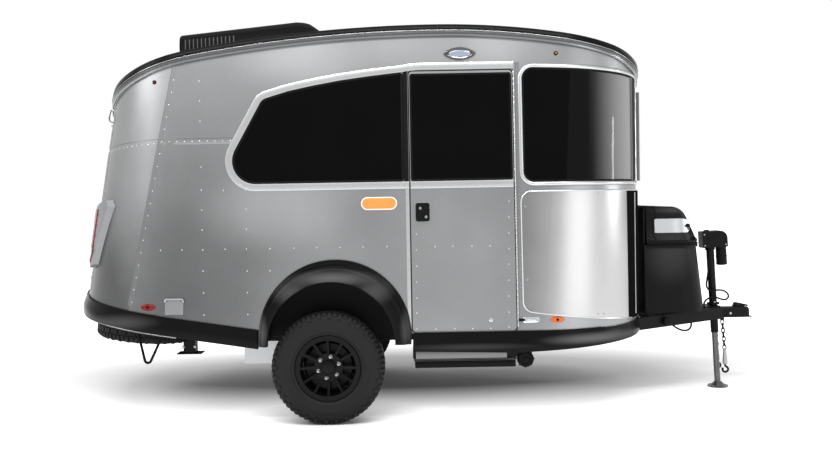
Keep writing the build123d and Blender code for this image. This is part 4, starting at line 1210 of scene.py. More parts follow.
@dataclass
class Rivets:
    """Rivet heads of one size that ride on one body.

    Attributes:
        name: name of the piece.
        body: the body that they ride on.
        radius: radius of a head.
        height: how far a head stands out.
        finish: their finish.
        places: point and outward direction of each.
    """

    name: str
    body: str = "trailer"
    radius: float = 0.0045
    height: float = 0.0022
    finish: Finish = RIVET_METAL
    places: list[tuple[Vector, Vector]] = field(default_factory=list)

    def on_skin(self, points: Iterable[Flat], proud: float = 0.0, side: Side = Side.RIGHT) -> None:
        """Add rivets at points of the skin given as run and height."""
        for run, z in points:
            self.places.append((HULL.at(run, z, proud, side), HULL.facing(run, z, side)))

    def make(self) -> bpy.types.Object:
        """Build the piece."""
        mesh = bpy.data.meshes.new(self.name + "_points")
        mesh.from_pydata([p for p, _ in self.places], [], [])
        facing = mesh.attributes.new("facing", "FLOAT_VECTOR", "POINT")
        facing.data.foreach_set("vector", [c for _, way in self.places for c in way])
        return repeat(RivetHeads).make(self.name, self.finish, self.body, mesh, Head_Radius=self.radius,
            Head_Height=self.height, Sides=8)


@dataclass(frozen=True)
class Cable:
    """A free cable: one smooth line that leaves the caravan and goes back into it.

    Attributes:
        name: name of the piece.
        line: its control points; the first is where it leaves the caravan.
        diameter: how thick it is.
        length: its real length; not used.
        finish: its finish.
    """

    name: str
    line: tuple
    diameter: float
    length: float
    finish: Finish

    def build(self) -> None:
        curve = bpy.data.curves.new(self.name, "CURVE")
        curve.dimensions = "3D"
        spline = curve.splines.new("NURBS")
        spline.points.add(len(self.line) - 1)
        for spot, place in zip(spline.points, self.line):
            spot.co = (*place, 1.0)
        spline.order_u = 3
        spline.use_endpoint_u = True
        spline.resolution_u = 8
        curve.bevel_depth = self.diameter / 2
        curve.bevel_resolution = 3
        curve.use_fill_caps = True
        curve.materials.append(self.finish.material())
        made = settle(placed(self.name, curve), self.finish, "trailer")
        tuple(self.line[0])


# ---------------------------------------------------------------- body
def end_run(y: float, z: float, way: int) -> float:
    """Run of a point on an end face, for y on either half (positive is the right half)."""
    if y >= 0.0:
        return HULL.run_at_y(y, z, way)
    return 2 * HULL.run_at_y(0.0, z, way) - HULL.run_at_y(-y, z, way)


def end_path(points: Iterable[Flat], way: int) -> list[Flat]:
    """Path on an end face from (y, z) to (run, z)."""
    return [(end_run(y, z, way), z) for y, z in points]


def band(width: float, proud: float = 0.0055, start: float = 0.0) -> list[Flat]:
    """Profile of a flat metal band with rolled edges.

    Args:
        width: width of the band.
        proud: its height off the skin.
        start: sideways offset of its inner edge.

    Returns:
        The profile.
    """
    edge = min(0.006, width * 0.25)
    return [(start, 0.0003), (start + 0.0008, proud * 0.75), (start + edge, proud),
        (start + width - edge, proud), (start + width - 0.0008, proud * 0.7), (start + width, 0.0003)]


def outward(profile: Sequence[Flat]) -> list[Flat]:
    """The same profile on the other side of its path."""
    return [(-offset, proud) for offset, proud in profile]


@dataclass
class SkinPanels:
    """The riveted sheets of the walls, their seams and their rivets.

    Attributes:
        rear_seam: x at its foot, rise per metre and foot height.
        rear_seam_top: height at which the rear seam ends.
        belt: height of the horizontal seam at the side and at the rear.
        front_seam_y: half width of the centre sheet of the nose.
        rear_seam_y: half width of the centre sheet of the tail.
        right_columns: x at 2.23 m and at 0.73 m of each leaning column of rivets, with their heights.
        right_row: x of the rivets in the low row.
        short_row: x of the rivets under the windows.
    """

    rear_seam: tuple[float, float, float] = (-1.944, 0.206, 0.59)
    rear_seam_top: float = 2.33
    belt: Flat = (1.852, 1.815)
    front_seam_y: float = 0.43
    rear_seam_y: float = 0.6
    right_columns: tuple = (
        (-1.428, -1.412, (2.239, 2.109, 1.979, 1.682, 1.533, 1.404, 1.276, 1.012, 0.871, 0.73)),
        (-1.139, -1.13, (1.529, 1.406, 1.277, 1.007, 0.869, 0.728)))
    right_row: tuple = (-1.688, -1.549, -1.416, -1.272, -1.134, -0.983, -0.828, -0.68, -0.532, -0.384,
        -0.229)
    short_row: tuple = (-1.278, -0.984)

    def build(self) -> None:
        """Paint the walls, lap the seams and set the rivets."""
        SKIN.paint("side_wall_right", "side_wall_left", "front_corner_right", "front_corner_left",
            "front_wall", "rear_wall", "entry_door", "rear_hatch")
        REAR_SKIN_PAINTED_LIGHT.paint("rear_corner_right", "rear_corner_left")
        small = self._laps()
        self._field_rivets()
        self._seam_rivets(small)

    def seam_x(self, z: float) -> float:
        """x of the leaning rear seam at a height."""
        foot, slope, low = self.rear_seam
        return foot + (z - low) * slope

    def _seam_path(self, low: float, high: float) -> list[Flat]:
        """Rear seam as run and height, from low to high."""
        return [(HULL.run_at_x(self.seam_x(z), z), z) for z in stations(low, high, 12)]

    def _laps(self) -> list[tuple[Flat, Side]]:
        """Sheet edges that lie over their neighbours, and thin dark strips that paint the shadow along
        the rear seams, the belts and the tail's corner seams.

        Returns:
            Places for the small rivets of the tail's corners.
        """
        lap = mm(-14, 0.2, -13, 1.6, 20, 1.6, 22, 0.2)
        work, edges, small = Sheetwork(), Sheetwork(), []
        # Thin dark strip that paints the shadow along a lap's edge.
        edge = mm(-16.5, 0.2, -16, 0.9, -13.8, 1.2, -13, 0.4)
        for side in Side:
            work.strip(self._seam_path(0.79, self.rear_seam_top), lap, False, side)
            edges.strip(self._seam_path(0.775, self.rear_seam_top), edge, False, side)
            belt = [(HULL.run_at_x(self.seam_x(1.85), 1.85) + 0.02, self.belt[0]), (-1.215, self.belt[0])]
            work.strip(refined(belt, False, 0.2), lap, False, side)
            edges.strip(refined(belt, False, 0.2), edge, False, side)
            start = end_run(0.62, self.belt[1], -1)
            end = HULL.run_at_x(self.seam_x(self.belt[0]), self.belt[0])
            corner = list(zip(stations(start, end, 24), stations(self.belt[1], self.belt[0], 24)))
            edges.strip(corner, edge, False, side)
            small += [(spot, side) for spot in spaced(corner, 0.045)]
            nose = end_path([(self.front_seam_y, z) for z in (0.62, 1.0, 1.4, 1.8, 2.2)], 1)
            work.strip(nose, lap, False, side)
            tail = [(end_run(self.rear_seam_y, z, -1), z) for z in (0.86, 1.1, 1.4, 1.7, 2.0, 2.1)]
            work.strip(tail, lap, False, side)
        sill = refined([(-0.07, 0.597), (0.6, 0.597)], False, 0.3)
        work.strip(sill, band(0.006, 0.003), False)
        work.piece("sheet_laps", SKIN)
        edges.piece("sheet_lap_edges", DARK_STRIP)
        return small

    def _field_rivets(self) -> None:
        """Bright rivets in the middle of the side sheets."""
        rivets = Rivets("field_rivets", radius=0.0052, height=0.0028)
        for side in Side:
            for top, foot, heights in self.right_columns:
                rivets.on_skin([(foot + (top - foot) * (z - 0.73) / 1.5, z) for z in heights], side=side)
            row = [x for x in self.right_row if side is Side.RIGHT or x < -1.2 or x > -0.9]
            rivets.on_skin([(x, 1.149) for x in row], side=side)
            rivets.on_skin([(x, 1.528) for x in self.short_row], side=side)
            rivets.on_skin([(-0.984, 1.006)], side=side)
        rivets.on_skin([(x / 10, z / 10) for x in range(-1, 6, 3) for z in (7, 9, 11, 13)],
            side=Side.LEFT)
        rivets.make()

    def _seam_rivets(self, small: list[tuple[Flat, Side]]) -> None:
        """Small rivets along the seams.

        Args:
            small: places on the tail's corners.
        """
        rivets = Rivets("seam_rivets", radius=0.0034, height=0.0016)
        for (run, z), side in small:
            rivets.on_skin([(run, z - 0.01)], 0.0, side)
        for side in Side:
            seam = beside(self._seam_path(0.82, 2.25), 0.012, False)
            rivets.on_skin(spaced(seam, 0.08), 0.0014, side)
            belt = [(HULL.run_at_x(self.seam_x(1.85), 1.85) + 0.06, self.belt[0] - 0.003),
                (-1.23, self.belt[0] - 0.003)]
            rivets.on_skin(spaced(belt, 0.052), 0.0014, side)
            line = [(end_run(self.rear_seam_y + 0.012, z, -1), z) for z in (0.88, 1.48, 2.08)]
            rivets.on_skin(spaced(line, 0.06), 0.0014, side)
        for x, low, high, gap in ((-0.226, 0.62, 0.95, 0.08), (0.628, 0.64, 1.5, 0.06)):
            rivets.on_skin(spaced([(x, low), (x, high)], gap), side=Side.LEFT)
        rivets.make()


@dataclass
class RoofTrim:
    """The trim that runs round the roof's edge: black cap, bright bead and rain rail.

    Attributes:
        level: height at which its path is measured.
        lengths: points along each half.
        cap: black cap, as drop below the roof line and stand-off.
        bead: bright bead.
        rail: dark rain rail.
        lip: pale lip under the rail.
    """

    level: float = 2.3
    lengths: int = 90
    cap: tuple = mm(-4, -40, -6, 4, -2, 20, 4, 25, 28, 27, 32, 22, 33, 16)
    bead: tuple = mm(33, 16, 34, 24, 38, 25, 41, 24, 42, 16)
    rail: tuple = mm(42, 16, 43, 20, 47, 21, 58, 19, 60, 15)
    lip: tuple = mm(60, 16, 61, 20, 70, 19, 74, 14, 75, 1)

    def at(self, run: float, rise: float, proud: float, side: Side) -> Vector:
        """Point at a rise above the roof's side line.

        Args:
            run: run at the path's level.
            rise: height above the roof line, square to it.
            proud: distance off the skin.
            side: which half of the body.

        Returns:
            The point.
        """
        z = self.level
        for _ in range(8):
            here = HULL.same_line(run, self.level, z)
            x = HULL.plan(here, z)[0]
            z = ROOF.z(x) + rise / ROOF.slope(x)
        return HULL.at(HULL.same_line(run, self.level, z), z, proud, side)

    def build(self) -> None:
        """Sweep each part of the trim and hang the small top rivets."""
        ROOF_SHEET.paint("roof_shell")
        rear, front = HULL.run_at_y(0.0, self.level, -1), HULL.run_at_y(0.0, self.level, 1)
        path = [(run, 0.0) for run in stations(rear, front, self.lengths)]
        grey = Finish("rain_rail", "trim_black", (0.055, 0.056, 0.058), (0.085, 0.086, 0.088), (0.3, 0.4),
            Grain.CAST, 260.0, 0.0001, 0.6)
        for name, profile, finish in (("roof_edge_cap", self.cap, SATIN_BLACK),
                ("roof_edge_bead", self.bead, EDGE_TRIM), ("roof_rain_rail", self.rail, grey),
                ("roof_edge_lip", self.lip, EDGE_TRIM)):
            work = Sheetwork()
            for side in Side:
                work.strip(path, profile, False, side, self.at)
            work.piece(name, finish)
        rivets = Rivets("roof_rivets", radius=0.0045, height=0.002)
        for side in Side:
            for run, _ in spaced(path, 0.16, margin=0.3):
                spot = self.at(run, -0.03, 0.0268, side)
                rivets.places.append((spot, HULL.facing(HULL.same_line(run, self.level, spot.z), spot.z,
                    side)))
        rivets.finish = SATIN_BLACK
        rivets.make()


@dataclass
class Glazing:
    """Panes of dark glass, their rubber seals and their riveted metal frames.

    Attributes:
        sill: height of the side glass's lower edge.
        heel: x and radius of the side window's rear lower corner.
        shoulder: x, z and radius of its rear upper corner.
        crown: points of its upper edge.
        door_head: height of the frame over the door.
        frame_width: width of the side frame.
        corner: rear x, front half width, lower z, rear upper z, front upper z and radius of the corner
            window.
        front: half width, lower z, upper z and radius of the front window.
        hatch: half width, lower z, upper z and radius of the hatch window.
    """

    sill: float = 1.565
    heel: Flat = (-1.323, 0.15)
    shoulder: tuple = (-1.022, 2.112, 0.07)
    crown: tuple = ((-0.85, 2.163), (-0.69, 2.196), (-0.515, 2.226), (-0.33, 2.25), (-0.112, 2.273))
    door_head: float = 2.285
    frame_width: float = 0.046
    corner: tuple = (0.66, 0.47, 1.549, 2.292, 2.255, 0.07)
    front: tuple = (0.39, 1.549, 2.19, 0.05)
    hatch: tuple = (0.37, 1.33, 1.86, 0.05)

    def build(self) -> None:
        """Paint the panes and frame every window."""
        GLASS_PAINTED_REFLECTION.paint("side_windows", "front_windows", "entry_door_window", "rear_hatch_window")
        rivets = Rivets("frame_rivets", radius=0.0042, height=0.002)
        rivets.finish = ZINC
        self._side_frames(rivets)
        self._corner_frames(rivets)
        self._front_frame()
        self._hatch_frame()
        rivets.make()

    def door_side_path(self) -> list[Flat]:
        """Edge of the side glass from its lower front corner back, up and forward again over the door."""
        corners = [(-0.079, self.sill), (self.heel[0], self.sill, self.heel[1]), self.shoulder,
            *self.crown, (-0.078, 2.279), (0.0, self.door_head), (0.606, self.door_head)]
        return refined(rounded(corners, False, 12), False, 0.12)

    def closed_side_path(self) -> list[Flat]:
        """The whole edge of the side glass."""
        return refined(rounded([(-0.112, self.sill, 0.018), (self.heel[0], self.sill, self.heel[1]),
            self.shoulder, *self.crown[:-1], (-0.112, 2.273, 0.018)], True, 10), True, 0.12)

    def corner_path(self) -> list[Flat]:
        """Edge of the corner window, clockwise from its lower front corner."""
        rear, inner, low, high, high_front, radius = self.corner
        front_low, front_high = HULL.run_at_y(inner, low, 1), HULL.run_at_y(inner, high_front, 1)
        return refined(rounded([(front_low, low, 0.012), (rear, low, radius), (rear, high, radius),
            (front_high, high_front, 0.012)], True, 10), True, 0.06)

    def end_outline(self, window: tuple, way: int) -> list[Flat]:
        """Edge of a window in an end face, clockwise as seen from the right."""
        half, low, high, radius = window
        flat = rounded([(-half, low, radius), (half, low, radius), (half, high, radius),
            (-half, high, radius)], True, 8)
        return end_path([(way * y, z) for y, z in refined(flat, True, 0.08)], way)

    def _side_frames(self, rivets: Rivets) -> None:
        """Frames and seals of both side windows, and the pillar before the door.

        Args:
            rivets: the frames' rivets, added to here.
        """
        metal, seal = Sheetwork(), Sheetwork()
        for side in Side:
            closed = side is Side.LEFT
            path = self.closed_side_path() if closed else self.door_side_path()
            metal.strip(path, outward(band(self.frame_width)), closed, side)
            seal.strip(self.closed_side_path(), mm(14, 0.4, 11, 2.2, 1, 3, -1, 0.4), True, side)
            rivets.on_skin(spaced(beside(path, -self.frame_width * 0.62, closed), 0.056, closed,
                0.0 if closed else 0.03), 0.0053, side)
        seal.strip([(-0.095, 1.56), (-0.095, 1.9), (-0.095, 2.282)], mm(-16, 0.4, -15, 4, 13, 4, 14, 0.4),
            False)
        metal.piece("side_window_frames", FRAME_STRIP)
        seal.piece("side_window_seals", RUBBER)

    def _corner_frames(self, rivets: Rivets) -> None:
        """Raised frames round the two corner windows.

        Args:
            rivets: the frames' rivets, added to here.
        """
        metal, seal = Sheetwork(), Sheetwork()
        path = self.corner_path()
        for side in Side:
            metal.strip(path, mm(-1, 0.4, -2, 7, -7, 11, -14, 12, -22, 9, -27, 4, -28, 0.4), True, side)
            seal.strip(path, mm(12, 0.4, 10, 2.6, 0, 4.4, -1, 0.4), True, side)
            rivets.on_skin(spaced([(0.622, 1.56), (0.622, 2.3)], 0.062), 0.001, side)
        metal.piece("corner_window_frames", FRAME_STRIP)
        seal.piece("corner_window_seals", RUBBER)

    def _front_frame(self) -> None:
        """Frame of the window in the nose."""
        path = self.end_outline(self.front, 1)
        metal, seal = Sheetwork(), Sheetwork()
        metal.strip(path, mm(-1, 0.4, -2, 6, -8, 9, -20, 8, -26, 0.4), True)
        metal.strip(path, mm(1, 0.4, 2, 6, 8, 9, 20, 8, 26, 0.4), True)
        uprights = Sheetwork()
        for side in Side:
            line = end_path([(0.43, z) for z in (1.552, 1.8, 2.0, 2.1, 2.17)], 1)
            uprights.strip(line, mm(-12, 1, -11, 28, -6, 33, 6, 33, 11, 28, 12, 1), False, side)
            line = end_path([(0.53, z) for z in (1.553, 1.8, 2.0, 2.2, 2.252)], 1)
            seal.strip(line, mm(-72, 0.5, -70, 6.5, 70, 6.5, 72, 0.5), False, side)
            inner = end_path([(0.612, z) for z in (1.551, 1.8, 2.0, 2.2, 2.252)], 1)
            uprights.strip(inner, mm(-7, 0.5, -5, 10, 5, 10, 7, 0.5), False, side)
        uprights.piece("nose_window_uprights", DARK_STRIP)
        seal.strip(path, mm(30, 0.4, 0, 4, -30, 0.4), True)
        metal.piece("front_window_frame", FRAME_STRIP)
        seal.piece("front_window_seal", RUBBER)

    def _hatch_frame(self) -> None:
        """Frame and seal of the hatch window."""
        path = self.end_outline(self.hatch, -1)
        metal, seal = Sheetwork(), Sheetwork()
        for sign in (-1, 1):
            metal.strip(path, [(sign * a, p) for a, p in mm(2, 0.4, 3, 5, 8, 6, 30, 6, 34, 0.4)], True)
        seal.strip(path, mm(10, 0.8, 0, 6.8, -10, 0.8), True)
        metal.piece("hatch_window_frame", FRAME_STRIP, "hatch")
        seal.piece("hatch_window_seal", RUBBER, "hatch")


@dataclass
class DoorDress:
    """What is fixed to the entry door and round its opening.

    Attributes:
        edges: x of its rear and front edges.
        foot: height of its lower edge; not used.
        glass_sill: height of its window's lower edge.
        left_rivets: x at the foot and top of the rear column, and its heights.
        right_rivets: x at the foot and top of the front column, and its heights.
        handle: x and z spans of the latch plate.
        hinge_x: x of the hinge line.
        hinge_span: lowest and highest point of the hinge.
    """

    edges: Flat = (-0.072, 0.596)
    foot: float = 0.598
    glass_sill: float = 1.565
    left_rivets: tuple = (-0.046, -0.035, (1.226, 1.123, 1.02, 0.918, 0.815, 0.719, 0.617))
    right_rivets: tuple = (0.546, 0.562, (1.428, 1.325, 1.222, 1.122, 1.023, 0.92, 0.818, 0.715, 0.619))
    handle: tuple = ((-0.041, 0.049), (1.306, 1.426))
    hinge_x: float = 0.605
    hinge_span: Flat = (0.62, 2.27)

    def build(self) -> None:
        """Dress the door."""
        self._bands()
        self._rivets()
        self._handle()
        self._hinge()
        self._catch()

    def _bands(self) -> None:
        """Metal band under the glass, the glass's seal and the jamb strips."""
        work = Sheetwork()
        under = refined([(self.edges[0] + 0.003, self.glass_sill),
            (self.edges[1] - 0.003, self.glass_sill)], False, 0.2)
        work.strip(under, band(0.047), False)
        work.piece("door_sill_band", FRAME_STRIP, "door")
        rivets = Rivets("door_band_rivets", "door", 0.0042, 0.002, ZINC)
        rivets.on_skin(spaced([(-0.05, 1.53), (0.575, 1.53)], 0.056), 0.0053)
        rivets.make()
        black = Sheetwork()
        glass = rounded([(-0.068, 1.566, 0.018), (0.592, 1.566, 0.018), (0.592, 2.262, 0.018),
            (-0.068, 2.262, 0.018)])
        black.strip(refined(glass, True, 0.2), mm(-13, 0.6, -10, 2.6, -2, 2.6, -1, 0.6), True)
        black.piece("door_glass_seal", RUBBER, "door")
        jamb = Sheetwork()
        jamb.strip(refined([(-0.08, 0.604), (-0.08, 1.517)], False, 0.3), outward(band(0.024, 0.004)),
            False)
        Sheetwork().strip(refined([(0.645, 2.325), (0.645, 0.602)], False, 0.3), band(0.03, 0.004),
            False).piece("door_post_strip", EDGE_TRIM)
        jamb.piece("door_jamb_strips", FRAME_STRIP)
        gap = Sheetwork()
        opening = [(-0.078, 0.594), (0.602, 0.594), (0.602, 2.282), (-0.078, 2.282)]
        gap.strip(refined(opening, True, 0.3), mm(-5.5, -12, 2, -10, 0.5, 1.2, -0.8, 1.6, -2, -4), True)
        gap.piece("door_opening_seal", RUBBER)

    def _rivets(self) -> None:
        """Bright rivets of the door's sheet, and the small ones of its jambs."""
        rivets = Rivets("door_rivets", "door", 0.0052, 0.0028)
        for foot, top, heights in (self.left_rivets, self.right_rivets):
            rivets.on_skin([(foot + (top - foot) * (z - 0.61) / 0.82, z) for z in heights])
        rivets.on_skin([(0.08, 1.143), (0.196, 1.144), (0.318, 1.143), (0.434, 1.141)])
        rivets.on_skin([(0.077, 0.615), (0.199, 0.614), (0.314, 0.613), (0.43, 0.612)])
        rivets.make()
        small = Rivets("jamb_rivets", radius=0.0034, height=0.0018, finish=ZINC)
        small.on_skin(spaced([(-0.092, 0.64), (-0.092, 1.48)], 0.06), 0.004)
        small.on_skin(spaced([(0.628, 0.63), (0.628, 2.28)], 0.03), 0.004)
        small.make()

    def _handle(self) -> None:
        """Black latch plate with its paddle recess and two round locks."""
        SHROUD.paint("door_handle")
        (low_x, high_x), (low_z, high_z) = self.handle
        rim = rounded([(low_x - 0.004, low_z - 0.004, 0.018), (high_x + 0.004, low_z - 0.004, 0.018),
            (high_x + 0.004, high_z + 0.004, 0.018), (low_x - 0.004, high_z + 0.004, 0.018)])
        Sheetwork().dome(rim, tiers(1, 0.2, 1, 2.6, 0.97, 3.4, 0.6, 3.4)).piece(
            "latch_gasket", LAMP_SILVER, "door")
        paddle = rounded([(low_x + 0.016, 1.338, 0.008), (high_x - 0.016, 1.338, 0.008),
            (high_x - 0.012, 1.392, 0.008), (low_x + 0.02, 1.392, 0.008)])
        Sheetwork().dome(paddle, tiers(1, 17.8, 1, 20.5, 0.94, 22.5, 0.5, 22.5)).piece(
            "latch_paddle", SHROUD, "door")
        locks = Sheetwork()
        for run, z in ((-0.011, 1.39), (0.026, 1.334)):
            locks.lathe(mm(0, 24.5, 6, 24.5, 8.5, 23.5, 9.5, 20.5, 9.5, 17.5), HULL.at(run, z),
                HULL.facing(run, z), 20)
        locks.piece("latch_locks", LAMP_SILVER, "door")

    def _hinge(self) -> None:
        """Long hinge: knuckles on the wall along the door's front edge."""
        low, high = self.hinge_span
        start, end = HULL.at(self.hinge_x, low, 0.0065), HULL.at(self.hinge_x, high, 0.0065)
        count = 42
        knuckle = Sheetwork()
        knuckle.lathe(mm(0, 0, 4.2, 0, 5, 1.2, 5, 34.5, 4.2, 35.7, 0, 35.7), ORIGIN, end - start, 10)
        repeat(Row).make("door_hinge_knuckles", FRAME_STRIP, "trailer", Count=count, Start=start,
            Step=(end - start) / count, Form=template(knuckle, "knuckle"))

    def _catch(self) -> None:
        """Rubber stop on the door and the catch that holds it open."""
        Sheetwork().lathe(mm(0, 18, 5, 18, 8, 14, 8.5, 4, 13, 3, 14, 0), HULL.at(0.431, 0.668),
            HULL.facing(0.431, 0.668), 20).piece("door_stop", CHROME, "door")
        catch, black = Sheetwork(), Sheetwork()
        plate = rounded([(0.64, 0.643, 0.008), (0.742, 0.645, 0.02), (0.742, 0.683, 0.02),
            (0.64, 0.681, 0.008)])
        catch.dome(plate, tiers(1, 0.2, 1, 4, 0.95, 6, 0.5, 7))
        for run in (0.655, 0.728):
            catch.lathe(mm(0, 18, 6, 18, 10, 13, 11, 4), HULL.at(run, 0.663), HULL.facing(run, 0.663), 18)
        catch.piece("door_catch_plate", CHROME)
        black.tube([HULL.at(0.612, 0.663, 0.01), HULL.at(0.634, 0.663, 0.012)], 0.009, 12)
        black.tube([HULL.at(0.634, 0.663, 0.012), HULL.at(0.65, 0.663, 0.012)], 0.006, 12)
        black.piece("door_catch_buffer", RUBBER)


@dataclass
class NoseGuards:
    """Polished guards over the lower front corners, with their edge beads and screws.

    Attributes:
        rear: x of the rear edge below and above.
        heights: lower rear, lower front and upper height.
        inner: distance of the inner edge from the centre plane.
        radius: radius of the rear corners.
        face: distance of the guard's face off the skin.
        wrap: half width of the black moulding between them, which also paints a dark reflection.
        margin_end: run at which their rear sheets end.
    """

    rear: Flat = (0.64, 0.638)
    heights: tuple = (0.7185, 0.602, 1.487)
    inner: float = 0.44
    radius: float = 0.07
    face: float = 0.011
    wrap: float = 0.71
    margin_end: float = 0.785

    @property
    def slope(self) -> float:
        """Fall of the guards' lower edge per metre."""
        return (self.heights[0] - self.heights[1]) / (HULL.front_apex - self.rear[0])

    def path(self) -> list[Flat]:
        """Edge of the guard, clockwise from its lower front corner."""
        low_rear, low_front, high = self.heights
        front = HULL.run_at_y(self.inner, 1.0, 1)
        corners = [(front, low_front + 0.01, 0.01), (self.rear[0], low_rear, self.radius),
            (self.rear[1], high, self.radius), (front, high, 0.01)]
        flat = refined(rounded(corners, True, 10), True, 0.06)
        edge = []
        for run, z in flat:
            x = HULL.plan(run, z)[0]
            floor = low_rear - (x - self.rear[0]) * self.slope
            edge.append((run, floor if z < floor + 0.03 and run > self.rear[0] + 0.08 else z))
        return edge

    def build(self) -> None:
        """Paint the guards and add beads, screws and the dark joint by the nose."""
        GUARD_PAINTED_LIGHT.paint("stone_guards")
        bead, dark = Sheetwork(), Sheetwork()
        for side in Side:
            bead.strip(self.path(), [(0.004, self.face), (0.003, self.face + 0.003),
                (-0.001, self.face + 0.004), (-0.005, self.face + 0.002), (-0.006, 0.001)], True, side)
            joint = end_path([(0.59, z) for z in (0.64, 0.9, 1.2, 1.47)], 1)
            dark.strip(joint, mm(-5, 14, -4, 19, 4, 19, 5, 14), False, side)
        self._rear_margins()
        self._nose_panel()
        bead.piece("guard_edge_bead", FRAME_STRIP)
        dark.piece("guard_joint_bead", FRAME_STRIP)
        screws = Rivets("guard_screws", radius=0.007, height=0.004, finish=ZINC)
        front = HULL.run_at_y(0.5, 1.0, 1)
        for side in Side:
            screws.on_skin([(0.664, 1.39), (0.668, 0.92)], self.face + 0.0008, side)
            screws.on_skin([(front - 0.55, 1.47), (front - 0.5, 1.47), (front - 0.56, 0.682),
                (front - 0.51, 0.678)], self.face, side)
        screws.make()

    def _rear_margins(self) -> None:
        """Sheets that carry the guards' faces back to the post strips."""
        work = Sheetwork()
        low, _, high = self.heights
        for side in Side:
            rows = []
            for height in stations(low, high, 24):
                depth = self.radius - min(self.radius, height - low, high - height)
                inset = self.radius - sqrt(max(0.0, self.radius ** 2 - depth ** 2))
                fade = self.slope * (high - height) / (high - low)
                rows.append([HULL.at(run, height - fade * (run - self.rear[0]), self.face + proud, side)
                    for run, proud in zip(stations(self.rear[0] + inset, self.margin_end, 8),
                    [0.0008] * 8 + [-0.0004])])
            work.grid(rows)
        work.piece("guard_rear_margins", GUARD_PAINTED_LIGHT)

    def _nose_panel(self) -> None:
        """Black moulding across the nose, which laps over both guards; with no reflection of its own it
        also paints the dark reflection of the bottle cover.
        """
        panel = Sheetwork()
        rows = []
        for y, edge in zip(stations(-self.wrap, self.wrap, 24), [0.0112] + [0.015] * 23 + [0.0112]):
            rows.append([HULL.at(end_run(y, z, 1), z, 0.0005 + edge * share)
                for z, share in ((0.616, 0.0), (0.618, 1.0), (0.9, 1.0), (1.2, 1.0), (1.482, 1.0),
                (1.485, 0.0))])
        panel.grid(rows)
        panel.piece("nose_panel", NOSE_MOULDING_PAINTED_DARK)


